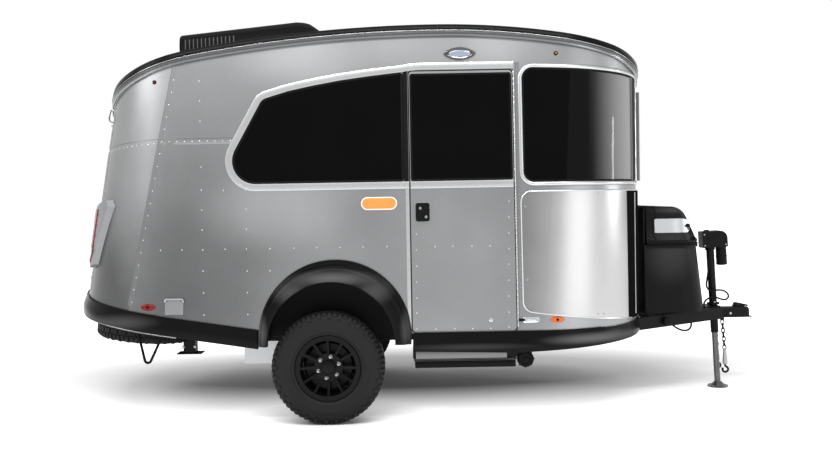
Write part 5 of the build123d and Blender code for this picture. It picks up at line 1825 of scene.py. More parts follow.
@dataclass
class Markers:
    """Lamps, reflectors, the inlet flap and the plain badge on the walls.

    Attributes:
        porch: centre x and z, half length and half height of the porch lamp.
        ovals: centre x and z, half length, half height and finish of the oval side lamps.
        dots: x, z and finish of the small upper lamps.
        inlet: x and z spans of the power inlet's flap.
        badge: centre x and z, length and height of the badge.
    """

    porch: tuple = (0.261, 2.388, 0.104, 0.042)
    ovals: tuple = ((0.858, 0.661, 0.049, 0.021, LENS_AMBER), (-1.773, 0.784, 0.05, 0.0225, LENS_RED))
    dots: tuple = ((0.884, 2.379, LENS_AMBER), (-1.724, 2.238, LENS_RED))
    inlet: tuple = ((-1.662, -1.541), (0.733, 0.836))
    badge: tuple = (-0.276, 1.427, 0.232, 0.083)

    def build(self) -> None:
        """Make every lamp and plate."""
        self._porch()
        self._side_lamps()
        self._inlet()
        self._badge()

    @staticmethod
    def oval(x: float, z: float, long: float, tall: float, power: float = 2.0) -> list[Flat]:
        """Superellipse on the skin.

        Args:
            x: its middle, as run.
            z: height of its middle.
            long: half its length.
            tall: half its height.
            power: exponent; 2 for an ellipse, and less for pointed ends.

        Returns:
            Its outline, as run and height.
        """
        points = []
        for i in range(40):
            c, s = cos(2 * pi * i / 40), sin(2 * pi * i / 40)
            points.append((x + long * copysign(abs(c) ** (2 / power), c),
                z + tall * copysign(abs(s) ** (2 / power), s)))
        return points

    def _porch(self) -> None:
        """Chrome bezel and pale lens over the door."""
        x, z, long, tall = self.porch
        bezel, lens = Sheetwork(), Sheetwork()
        bezel.dome(self.oval(x, z, long, tall, 1.6), tiers(1, 0.3, 1, 8, 0.96, 13, 0.88, 15, 0.8, 13))
        lens.dome(self.oval(x, z - 0.002, long * 0.66, tall * 0.5, 2.6),
            tiers(1.05, 10, 1, 15.5, 0.92, 18, 0.6, 19.5))
        made = bezel.piece("porch_lamp_bezel", DARK_CHROME)
        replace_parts(made, "marker_lamps")
        lens.piece("porch_lamp_lens", PORCH_LENS)

    def _side_lamps(self) -> None:
        """Oval side lamps and the small dots under the roof, on both sides."""
        for index, (x, z, long, tall, finish) in enumerate(self.ovals):
            lens, core = Sheetwork(), Sheetwork()
            for side in Side:
                lens.dome(self.oval(x, z, long, tall, 1.7), tiers(
                    1, 0.3, 1, 3, 0.93, 6, 0.7, 9, 0.35, 10.5), side)
                core.dome(self.oval(x, z, tall * 0.42, tall * 0.42),
                    tiers(1, 9, 1, 11.5, 0.7, 12.5, 0.4, 11.5), side)
            lens.piece(f"side_lamp_{index}", finish)
            core.piece(f"side_lamp_core_{index}", SHROUD)
        for index, (x, z, finish) in enumerate(self.dots):
            dot, ring = Sheetwork(), Sheetwork()
            for side in Side:
                dot.dome(self.oval(x, z, 0.006, 0.006), tiers(1, 3, 0.9, 7, 0.5, 9), side)
                ring.dome(self.oval(x, z, 0.014, 0.014), tiers(1, 0.3, 0.95, 3.6, 0.8, 4), side)
            dot.piece(f"roof_lamp_{index}", finish)
            ring.piece(f"roof_lamp_ring_{index}", RUBBER)

    def _inlet(self) -> None:
        """Flap with its hood, over the power inlet."""
        (low_x, high_x), (low_z, high_z) = self.inlet
        flap, hood = Sheetwork(), Sheetwork()
        outline = rounded([(low_x, low_z, 0.006), (high_x - 0.004, low_z, 0.006), (high_x, high_z, 0.016),
            (low_x, high_z, 0.016)])
        flap.dome(outline, tiers(1, 0.3, 1, 7, 0.96, 9, 0.6, 9))
        hood.strip(rounded([(low_x - 0.001, high_z - 0.02), (low_x + 0.003, high_z, 0.012),
            (high_x - 0.003, high_z, 0.012), (high_x + 0.001, high_z - 0.024)], False),
            mm(-3, 0.3, -3, 14, 6, 16, 10, 10), False)
        flap.piece("inlet_flap", LAMP_SILVER)
        hood.piece("inlet_hood", FRAME_STRIP)

    def _badge(self) -> None:
        """Plain pill-shaped badge with a pale rim."""
        x, z, long, tall = self.badge
        half = tall / 2
        corners = [(x - long / 2, z - half, half * 0.98), (x + long / 2, z - half, half * 0.98),
            (x + long / 2, z + half, half * 0.98), (x - long / 2, z + half, half * 0.98)]
        pill = rounded(corners, True, 10)
        rim, face = Sheetwork(), Sheetwork()
        rim.dome(pill, tiers(1, 0.3, 1, 1.6, 0.985, 2.2, 0.6, 2.2))
        face.dome(beside(pill, -0.007, True), tiers(1, 2, 1, 2.8, 0.985, 3.2, 0.5, 3.4))
        rim.piece("badge_rim", BADGE_RIM)
        face.piece("badge_face", BADGE_ORANGE)


# ---------------------------------------------------------------- running gear
def level(a: float, b: float, proud: float, side: Side) -> Vector:
    """Place for a level outline: x, distance from the centre plane and height."""
    return Vector((a, side.value * b, proud))


@dataclass
class Wheel:
    """A tyre with its tread, and the bright parts on the rim.

    Attributes:
        name: ending of its pieces' names.
        body: the body that it rides on.
        replaced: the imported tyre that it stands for.
        centre: middle of the wheel.
        tilt: turn from the Y axis to the wheel's own axis.
        outward: 1 or -1, the way along the axis to the outer face.
        lugs: shoulder lugs round each side.
    """

    name: str
    body: str
    replaced: str
    centre: Vector
    tilt: Vector = field(default_factory=lambda: ORIGIN)
    outward: int = 1
    lugs: int = 64

    CARCASS = mm(191.5, 72, 216.5, 89.5, 219, 93.5, 224, 95, 228, 98.5, 236, 103.5, 238, 106.5, 242, 107,
        256, 112, 272, 116.2, 274, 117.4, 290, 117.4, 292, 116, 310, 113, 328, 107.5, 342, 98, 351, 88,
        356.5, 74, 357.5, 0)
    LUG = mm(64, 352, 64, 366.2, 80, 366.2, 92, 360, 104, 347, 111.5, 335, 113.5, 327, 107, 327, 94, 340,
        80, 352)
    SHORT_LUG = mm(64, 352, 64, 366.2, 78, 366.2, 89, 360.5, 98.5, 352.5, 102, 344, 96, 344, 80, 352)
    INNER_BLOCK = mm(23, 352, 23, 366.2, 57, 366.2, 57, 352)
    CENTRE_BLOCK = mm(-17, 352, -17, 366.2, 17, 366.2, 17, 352)
    LINER = mm(150, -88, 179.5, -88, 179.5, -84, 150, -84, 150, -88)
    CAP_RING = mm(41.5, 68.5, 44.5, 68.5, 46.2, 70.5, 45.5, 73, 43.2, 73.5, 41, 71.5, 40.5, 69)
    CAP_FACE = mm(0, 73.8, 18, 73.2, 34, 71.2, 39.5, 69.5, 39.5, 68.5)
    LIP = mm(185.5, 92, 208.5, 94.5, 211.2, 92.5, 211.8, 89.5, 211.2, 86.5)
    NUT = mm(12.8, 0, 12.8, 3, 10.5, 4.2, 10.5, 18, 7.8, 23, 0, 24.5)
    BLOCKS = ((LUG, -0.33, 0.33, 0.0), (SHORT_LUG, 0.67, 1.33, 0.0), (INNER_BLOCK, -0.05, 0.75, 0.1),
        (INNER_BLOCK, 0.95, 1.8, -0.08))

    def build(self) -> None:
        """Make the carcass and its tread."""
        half = list(self.CARCASS)
        profile = half + [(r, -y) for r, y in reversed(half[:-1])] + [half[0]]
        turn = Matrix.Rotation(self.tilt.y, 3, "Y") @ Matrix.Rotation(self.tilt.x, 3, "X")
        made = Sheetwork().lathe(profile, self.centre, turn @ Side.LEFT.out, 96).piece(
            f"tyre_{self.name}", TYRE_RUBBER, self.body)
        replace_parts(made, self.replaced)
        pitch = 2 * pi / self.lugs
        form = Sheetwork()
        for flip, start in ((1, 0.0), (-1, 0.5)):
            for section, low, high, skew in self.BLOCKS:
                self._lug(form, section, (start + low) * pitch, (start + high) * pitch, flip, skew)
        for low, high, skew in ((-0.42, 0.42, 0.12), (0.58, 1.42, -0.12)):
            self._lug(form, self.CENTRE_BLOCK, low * pitch, high * pitch, 1, skew)
        self._round("tread", TYRE_RUBBER, form, self.lugs // 2, 0.0)

    def _round(self, name: str, finish: Finish, form: Sheetwork, count: int, phase: float) -> None:
        """Set copies of a form round the axle.

        Args:
            name: start of the piece's name.
            finish: its finish.
            form: one copy, as it stands on top of the wheel.
            count: number of copies.
            phase: angle of the first, in radians.
        """
        repeat(WheelRing).make(f"{name}_{self.name}", finish, self.body, Count=count, Phase=phase,
            Centre=self.centre, Tilt=self.tilt, Form=template(form, name))

    @staticmethod
    def _lug(form: Sheetwork, section: Sequence[Flat], start: float, end: float, flip: int,
            skew: float) -> None:
        """Add one rubber block between two angles.

        Args:
            form: what it is added to.
            section: (distance along the axle, radius) of its corners.
            start: first angle, in radians.
            end: last angle.
            flip: 1 or -1, the side of the tyre.
            skew: turn of its inner edge against its outer one, as a share of its length.
        """
        rows = []
        for share, sink in ((0.0, 0.0022), (0.06, 0.0), (0.94, 0.0), (1.0, 0.0022)):
            ring = []
            for along, radius in section:
                angle = start + (end - start) * (share + skew * along * 30.0)
                depth = radius - (sink if radius > 0.353 else 0.0)
                ring.append(Vector((sin(angle) * depth, flip * along, cos(angle) * depth)))
            rows.append(ring)
        form.grid(rows, ring=True).cap(rows[0][::-1]).cap(rows[-1])

    def dress_rim(self) -> None:
        """Add lug nuts, the rim's liner and lip, the centre cap and the valve."""
        nut = Sheetwork().lathe(self.NUT, Vector((0.0, self.outward * 0.045, 0.07)), self._axis, 12)
        self._round("lug_nuts", ZINC, nut, 6, radians(12.0))
        self._ring("rim_liner", UNDERFLOOR, self.LINER, 64)
        self._ring("cap_ring", SHROUD, self.CAP_RING, 48)
        self._ring("cap_face", RIM_PAINT, self.CAP_FACE, 48)
        root = self.centre + Vector((0.172, self.outward * 0.062, -0.045))
        tip = root + Vector((-0.012, self.outward * 0.022, 0.003))
        Sheetwork().tube([root, tip], 0.0045, 10).piece(f"valve_{self.name}", RUBBER, self.body)
        self._ring("rim_lip", RIM_PAINT, self.LIP, 96)

    @property
    def _axis(self) -> Vector:
        """Direction out of the wheel's outer face."""
        return Vector((0.0, float(self.outward), 0.0))

    def _ring(self, name: str, finish: Finish, profile: Sequence[Flat], segments: int) -> None:
        """Turn a part of the rim about the axle.

        Args:
            name: start of the piece's name.
            finish: its finish.
            profile: (radius, distance along the axle) of each point.
            segments: faces round the axle.
        """
        work = Sheetwork().lathe(profile, self.centre, self._axis, segments)
        work.piece(f"{name}_{self.name}", finish, self.body)


@dataclass
class RunningGear:
    """Wheels, spare wheel, frame, axle and everything else under the floor.

    Attributes:
        axle: x and z of the axle.
        track: distance of each wheel's middle from the centre plane.
        spare: x and z of the spare wheel's middle.
        spare_tilt: degrees that it leans.
        flare_reach: distance of the flares' faces from the centre plane.
        skirt_level: height at which the skirts' path is measured.
        skirt_drop: height of the skirt behind the wheels.
        skirt_foot: x and height of points of the front skirt's lower edge.
    """

    axle: Flat = (-0.625, 0.3665)
    track: float = 0.916
    spare: Flat = (-2.06, 0.562)
    spare_tilt: float = 6.0
    flare_reach: float = 1.067
    skirt_level: float = 0.53
    skirt_drop: float = 0.122
    skirt_foot: tuple = ((-0.072, 0.474), (0.6, 0.456), (1.5, 0.494), (2.0, 0.5))

    FLARE = ((0.492, -0.3), (0.492, 0.28), (0.4895, 0.38), (0.483, 0.42), (0.4765, 0.4), (0.474, 0.36),
        (0.4715, 0.42), (0.468, 0.6), (0.461, 0.8), (0.452, 0.92), (0.441, 0.985), (0.43, 1.0),
        (0.421, 0.985), (0.414, 0.93), (0.4105, 0.84), (0.4095, 0.7), (0.4095, -0.45))
    SKIRT = ((0.0, 0.0142), (0.05, 0.018), (0.18, 0.0245), (0.36, 0.0275), (0.55, 0.0255), (0.75, 0.0195),
        (0.92, 0.0155), (1.0, 0.0142))
    GAS_PIPE = ((1.5, -0.3, 0.545), (1.1, -0.45, 0.53), (0.7, -0.56, 0.505), (0.1, -0.588, 0.5),
        (-0.1, -0.588, 0.5))
    FLOOR_CABLE = ((1.86, 0.12, 0.52), (1.3, 0.3, 0.515), (0.8, 0.56, 0.5), (0.0, 0.586, 0.5),
        (-0.35, 0.586, 0.505))

    def build(self) -> None:
        """Make the wheels and finish the parts under the floor."""
        FRAME_PAINT.paint("chassis_frame", "axle_beam", "coupler", "spare_carrier", "step_housing",
            "stabilisers")
        UNDERFLOOR.paint("floor_deck", "wheel_boxes")
        PANEL_SILVER.paint("tank_pan")
        RIM_PAINT.paint("rim_right", "rim_left", "spare_rim")
        SKIRT_BLACK_PAINTED_HIGHLIGHT.paint("front_skirt", "rear_skirt")
        SHROUD.paint("waste_outlet")
        LAMP_SILVER.paint("step_tread")
        for side in Side:
            middle = Vector((self.axle[0], side.value * self.track, self.axle[1]))
            wheel = Wheel(side.label, f"wheel_{side.label}", f"tyre_{side.label}", middle,
                outward=side.value)
            wheel.build()
            wheel.dress_rim()
        tilt = Vector((pi / 2, radians(self.spare_tilt), 0.0))
        Wheel("spare", "trailer", "spare_tyre", Vector((self.spare[0], 0.0, self.spare[1])), tilt).build()
        self._flares()
        self._skirts()
        self._pipes()
        self._stabilisers()
        self._step()
        self._waste_cap()

    def _flares(self) -> None:
        """Bulged flare round each wheel arch, with its flange and groove, and the skirts' upper beads."""
        flares, bead = Sheetwork(), Sheetwork()
        for side in Side:
            rows = []
            for turn in stations(0.0, 1.0, 64):
                row = []
                for radius, share in self.FLARE:
                    blend = (radius - 0.409) / 0.083
                    x, z = -0.596 + 0.025 * blend, 0.52 + 0.059 * blend
                    foot = -asin((z - 0.5205) / radius)
                    angle = foot + (pi - 2 * foot) * turn
                    x += radius * cos(angle)
                    z += radius * sin(angle)
                    skin = HULL.half_width(z)
                    row.append(Vector((x, side.value * (skin + (self.flare_reach - skin) * share), z)))
                rows.append(row)
            flares.grid(rows).cap(rows[0]).cap(rows[-1][::-1])
            skirt = refined([(-0.066, 0.592), (0.9, 0.592), (1.2, 0.592)], False, 0.2)
            bead.strip(skirt, mm(-3, 14.5, -3, 17, 3, 17, 4, 14.5), False, side)
        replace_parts(flares.piece("arch_flares", FLARE_BLACK_PAINTED_HIGHLIGHT), "wheel_flares")
        bead.piece("skirt_bead", RUBBER)

    def _skirts(self) -> None:
        """Rounded faces of the black lower bands from the arches round to the ends, and the rear hem."""
        work, hem = Sheetwork(), Sheetwork()
        level = self.skirt_level
        stops = ((HULL.run_at_x(-0.066, level), HULL.run_at_y(0.475, level, 1)),
            (HULL.run_at_x(-1.072, level), HULL.run_at_y(0.0, level, -1)))
        for side in Side:
            for behind, (start, end) in enumerate(stops):
                rows, hems = [], []
                for run in stations(start, end, 40):
                    x = HULL.plan(run, level)[0]
                    high = HULL.tail_floor(x) if behind else HULL.floor_z
                    low = high - self.skirt_drop if behind else self._skirt_foot_at(x)
                    rows.append([self._below(run, low + (high - low) * share, proud, side)
                        for share, proud in self.SKIRT])
                    hems.append([self._below(run, low + rise, proud, side)
                        for rise, proud in mm(-1, 13.5, -4, 17.5, 0, 20, 4, 18)])
                work.grid(rows)
                if behind:
                    hem.grid(hems[10:])
        work.piece("skirt_faces", SKIRT_BLACK_PAINTED_HIGHLIGHT)
        hem.piece("skirt_hem", DARK_STRIP)

    def _skirt_foot_at(self, x: float) -> float:
        """Height of the front skirt's lower edge."""
        spans = zip(self.skirt_foot, self.skirt_foot[1:])
        return next(a[1] + (b[1] - a[1]) * (x - a[0]) / (b[0] - a[0]) for a, b in spans if x <= b[0])

    def _below(self, run: float, z: float, proud: float, side: Side) -> Vector:
        """Point of the skin carried straight on under the walls, from its run at the skirts' level."""
        return HULL.at(HULL.same_line(run, self.skirt_level, z), z, proud, side)

    def _pipes(self) -> None:
        """Gas pipe and cable run along the frame, the pull's sleeve and the spare wheel's nut."""
        pipes = Sheetwork().tube(smooth_line(self.GAS_PIPE, 6), 0.006, 8)
        pipes.tube(smooth_line(self.FLOOR_CABLE, 6), 0.008, 8).piece("under_pipes", RUBBER)
        pull = rounded([(-1.983, 0.6819), (-1.905, 0.312, 0.022), (-1.747, 0.6397)], False)
        Sheetwork().tube([Vector((x, -0.62, z)) for x, z in pull], 0.009, 10).piece(
            "pull_loop_sleeve", RUBBER)
        down = turned(self.spare_tilt, "Y") @ -UP
        base = Vector((self.spare[0], 0.0, self.spare[1])) + down * 0.037
        Sheetwork().lathe(mm(0, 0, 30, 0, 30, 8, 19, 10, 19, 30, 0, 32), base, down, 6).piece(
            "spare_nut", ZINC)

    def _stabilisers(self) -> None:
        """Pivot bolts and screw ends of the folded stabilisers."""
        bolts = Sheetwork()
        for side in Side:
            pivots = ((-1.64, 0.47), (-1.562, 0.47), (-1.69, 0.57), (-1.46, 0.575))
            bolts.studs(mm(0, 9, 8, 9, 11, 6, 11, 0), [(Vector((x, side.value * 0.6598, z)), side.out)
                for x, z in pivots], 6)
            bolts.lathe(mm(0, 30, 11, 30, 11, 0), Vector((-1.412, side.value * 0.62, 0.585)), AHEAD, 6)
        bolts.piece("stabiliser_bolts", ZINC)

    def _step(self) -> None:
        """Ribs, nosing, face and screws of the pull-out step, and its housing's face."""
        rib = Sheetwork().block(ORIGIN, (0.61, 0.006, 0.0024), 0.001)
        repeat(Row).make("step_ribs", RUBBER, "step", Count=14, Start=Vector((0.264, -0.962, 0.4112)),
            Step=Vector((0.0, 0.019, 0.0)), Form=template(rib, "step_rib"))
        nosing = Sheetwork().block((0.264, -0.9862, 0.405), (0.664, 0.004, 0.006), 0.0016)
        nosing.piece("step_nosing", SHROUD, "step")
        face = Sheetwork().block((0.264, -0.9862, 0.378), (0.652, 0.005, 0.044), 0.0018)
        face.piece("step_face", SATIN_BLACK, "step")
        screws = [(Vector((x, -0.9887, 0.38)), Side.RIGHT.out) for x in (-0.04, 0.568)]
        Sheetwork().studs(mm(0, 3.6, 5, 3.4, 8.5, 2, 9, 0), screws, 16).piece(
            "step_screws", SHROUD, "step")
        Sheetwork().block((0.24, -0.98, 0.4405), (0.59, 0.005, 0.053), 0.0016).piece(
            "step_housing_face", DARK_STRIP)

    def _waste_cap(self) -> None:
        """Grip lugs and rings of the drain's cap."""
        out = Side.RIGHT.out
        hub = Vector((0.658, -0.958, 0.399))
        cap = Sheetwork().lathe(mm(47, 0, 50, 4, 44, 8, 36, 8, 32, 3, 20, 3, 17, 8.5, 0, 9.5), hub, out,
            40)
        for i in range(8):
            angle = 2 * pi * i / 8
            cap.block(hub + Vector((cos(angle) * 0.0535, 0.016, sin(angle) * 0.0535)),
                (0.012, 0.028, 0.006), 0.002, Matrix.Rotation(-angle, 3, "Y"))
        cap.piece("drain_cap_grip", SHROUD)
        Sheetwork().lathe(mm(0, 12.5, 7, 12, 9, 9.5, 9, 6), hub, out, 16).piece("drain_cap_stud", SHROUD)


@dataclass
class RoofGear:
    """The cooling unit and the vent on the roof.

    Attributes:
        stations: x and top height of the unit's shroud, rear to front.
        half: its half width.
        corner: radius of its long edges.
        waist: height of the step in its flanks, as a share of theirs.
        pitch: step from each slot to the next.
    """

    stations: tuple = ((-1.699, 2.56), (-1.699, 2.612), (-1.697, 2.636), (-1.687, 2.6455), (-1.3, 2.6834),
        (-0.93, 2.7197), (-0.866, 2.726), (-0.816, 2.722), (-0.776, 2.712), (-0.731, 2.683),
        (-0.701, 2.659), (-0.688, 2.637), (-0.68, 2.6), (-0.676, 2.56))
    half: float = 0.335
    corner: float = 0.036
    waist: float = 0.32
    pitch: Triple = (0.0286, 0.0, 0.0021)

    def build(self) -> None:
        """Make the shroud and dress the vent."""
        self._shroud()
        self._louvres()
        self._vent()

    def _section(self, x: float, top: float) -> list[Vector]:
        """Section of the shroud at a station, from one foot over the top to the other.

        Args:
            x: the station.
            top: height of the shroud there.

        Returns:
            Points of the section.
        """
        foot = ROOF.z(x) - 0.012
        half, corner = self.half, self.corner
        lane = [(half, foot), (half, foot + (top - foot) * self.waist),
            (half - 0.004, foot + (top - foot) * (self.waist + 0.02)),
            (half - 0.004, top - corner - 0.004)]
        lane += [(half - corner + corner * cos(a), top - corner + corner * sin(a))
            for a in stations(0.0, pi / 2, 6)[1:]]
        lane = [(min(y, half), max(z, foot)) for y, z in lane]
        return [Vector((x, -y, z)) for y, z in lane] + [Vector((x, y, z)) for y, z in reversed(lane)]

    def _shroud(self) -> None:
        """Moulded shell of the cooling unit, with ribs along its top."""
        rows = [self._section(x, top) for x, top in self.stations]
        shell = Sheetwork().grid(rows).cap(rows[0]).cap(rows[-1][::-1])
        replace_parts(shell.piece("cooler_shroud", SHROUD), "air_conditioner")
        ribs = Sheetwork()
        line = [(x, z + 0.0008) for x, z in ((-1.6, 2.654), (-1.3, 2.6834), (-1.05, 2.7079))]
        for y in (-0.19, -0.095, 0.0, 0.095, 0.19):
            for (x0, z0), (x1, z1) in zip(line, line[1:]):
                middle = ((x0 + x1) / 2, y, (z0 + z1) / 2 - 0.001)
                tilt = Matrix.Rotation(-atan2(z1 - z0, x1 - x0), 3, "Y")
                ribs.block(middle, (dist((x0, z0), (x1, z1)), 0.014, 0.005), 0.002, tilt)
        ribs.piece("cooler_ribs", SHROUD)

    def _louvres(self) -> None:
        """Slots and fins on both flanks and the rear grille."""
        slot = Sheetwork().block(ORIGIN, (0.019, 0.006, 0.074), 0.003)
        fin = Sheetwork().block(ORIGIN, (0.008, 0.01, 0.07), 0.002, turned(22.0, "Z"))
        bar = Sheetwork().block(ORIGIN, (0.008, 0.52, 0.006), 0.002)
        y, up = self.half - 0.003, (0.0, 0.0, 0.016)
        rows = []
        for side in Side:
            rows.append((f"cooler_slots_{side.label}", RUBBER, 12, (-1.6427, side.value * y, 2.5755),
                self.pitch, slot, "slot"))
            rows.append((f"cooler_fins_{side.label}", FIN_GREY, 13,
                (-1.657, side.value * (y - 0.001), 2.5745), self.pitch, fin, "fin"))
        rows.append(("cooler_grille", SATIN_BLACK, 6, (-1.6995, 0.0, 2.512), up, bar, "bar"))
        for name, finish, count, start, step, form, label in rows:
            repeat(Row).make(name, finish, "trailer", Count=count, Start=Vector(start), Step=Vector(step),
                Form=template(form, label))

    def _vent(self) -> None:
        """Finish of the vent, with its lid's ribs and its hinge."""
        LAMP_SILVER.paint("roof_vent")
        SMOKED.paint("roof_vent_lid")
        ribs, hinge = Sheetwork(), Sheetwork()
        for x in (0.13, 0.25, 0.37):
            ribs.block((x, 0.42, 2.656), (0.016, 0.32, 0.005), 0.002)
        for y in (0.3, 0.54):
            hinge.block((0.046, y, 2.596), (0.01, 0.06, 0.02), 0.003)
        ribs.piece("vent_lid_ribs", SMOKED, "vent_lid")
        hinge.piece("vent_hinge_leaves", ZINC)


@dataclass
class Tail:
    """Hatch furniture and tail lamps.

    Attributes:
        handle: half length and height of the hatch's handle.
        hinge_half: half length of the hatch's hinge.
        hinge_z: its height.
        knuckles: its knuckles.
        lock: distance of each lock from the centre plane, and its height.
    """

    handle: Flat = (0.075, 1.19)
    hinge_half: float = 0.455
    hinge_z: float = 1.9975
    knuckles: int = 20
    lock: Flat = (0.4, 0.935)

    def build(self) -> None:
        """Dress the hatch and the lamps."""
        self._hatch()
        self._lamps()

    def _hatch(self) -> None:
        """Seal, handle, locks, hinge and rivets of the hatch."""
        corners = [(y, z, 0.058) for y, z in ((-0.487, 0.875), (0.487, 0.875), (0.487, 1.982),
            (-0.487, 1.982))]
        outline = end_path(refined(rounded(corners), True, 0.08), -1)
        Sheetwork().strip(outline, mm(-3, -10, -2, 1.2, 1.8, 1.2, 3, -10), True).piece(
            "hatch_opening_seal", RUBBER)
        half, z = self.handle
        grip = Sheetwork().studs(mm(16, 0.6, 16, 4, 10, 7, 9, 30),
            [HULL.spot(end_run(y, z, -1), z) for y in (-half, half)], 16)
        line = [HULL.at(end_run(half * s, z, -1), z, 0.034 + 0.006 * cos(s * 1.4))
            for s in (-1.0, -0.6, -0.2, 0.2, 0.6, 1.0)]
        grip.tube(smooth_line(line, 4), 0.009, 12).piece("hatch_handle", SHROUD, "hatch")
        y, z = self.lock
        locks = [HULL.spot(end_run(way * y, z, -1), z) for way in (-1, 1)]
        Sheetwork().studs(mm(20, 0.6, 20, 4, 15, 7, 0, 8), locks, 24).piece(
            "hatch_locks", CHROME, "hatch")
        hinge = Sheetwork()
        knuckle = 2 * self.hinge_half / self.knuckles
        for start in stations(-self.hinge_half, self.hinge_half, self.knuckles)[:-1]:
            hinge.tube([HULL.at(end_run(y, self.hinge_z, -1), self.hinge_z, 0.0045)
                for y in (start, start + knuckle * 0.94)], 0.0062, 10)
        hinge.piece("hatch_hinge_knuckles", FRAME_STRIP)
        rivets = Rivets("hatch_rivets", "hatch")
        rivets.on_skin(spaced(beside(outline, -0.022, True), 0.062, True))
        rivets.make()

    def _lamps(self) -> None:
        """Lamp housings, red lenses with ribs, a clear lens in each, and the grab loops over them."""
        LAMP_SILVER.paint("tail_lamps")
        LENS_RED.paint("tail_lamp_lenses")
        ribs, clear, loops = Sheetwork(), Sheetwork(), Sheetwork()
        outline = end_path([(0.632, 1.092), (0.672, 1.092), (0.694, 1.118), (0.694, 1.152),
            (0.632, 1.152)], -1)
        for side in Side:
            for z in (1.165, 1.235, 1.305, 1.375):
                line = end_path([(0.628, z), (0.66, z), (0.694, z)], -1)
                ribs.strip(line, mm(-3.5, 40, -2.5, 42.5, 2.5, 42.5, 3.5, 40), False, side)
            clear.dome(outline, tiers(1, 39.5, 1, 41.5, 0.92, 43, 0.5, 43.6), side)
            bow = [HULL.at(end_run(0.55, z, -1), z, p) for z, p in (
                (2.1, 0.002), (2.094, 0.026), (2.055, 0.034), (2.016, 0.026), (2.01, 0.002))]
            loops.tube(smooth_line([Vector((p.x, -side.value * p.y, p.z)) for p in bow], 5), 0.008, 8)
        ribs.piece("tail_lens_ribs", LENS_RED)
        clear.piece("tail_clear_lenses", PORCH_LENS)
        loops.piece("hatch_grab_loops", CHROME)


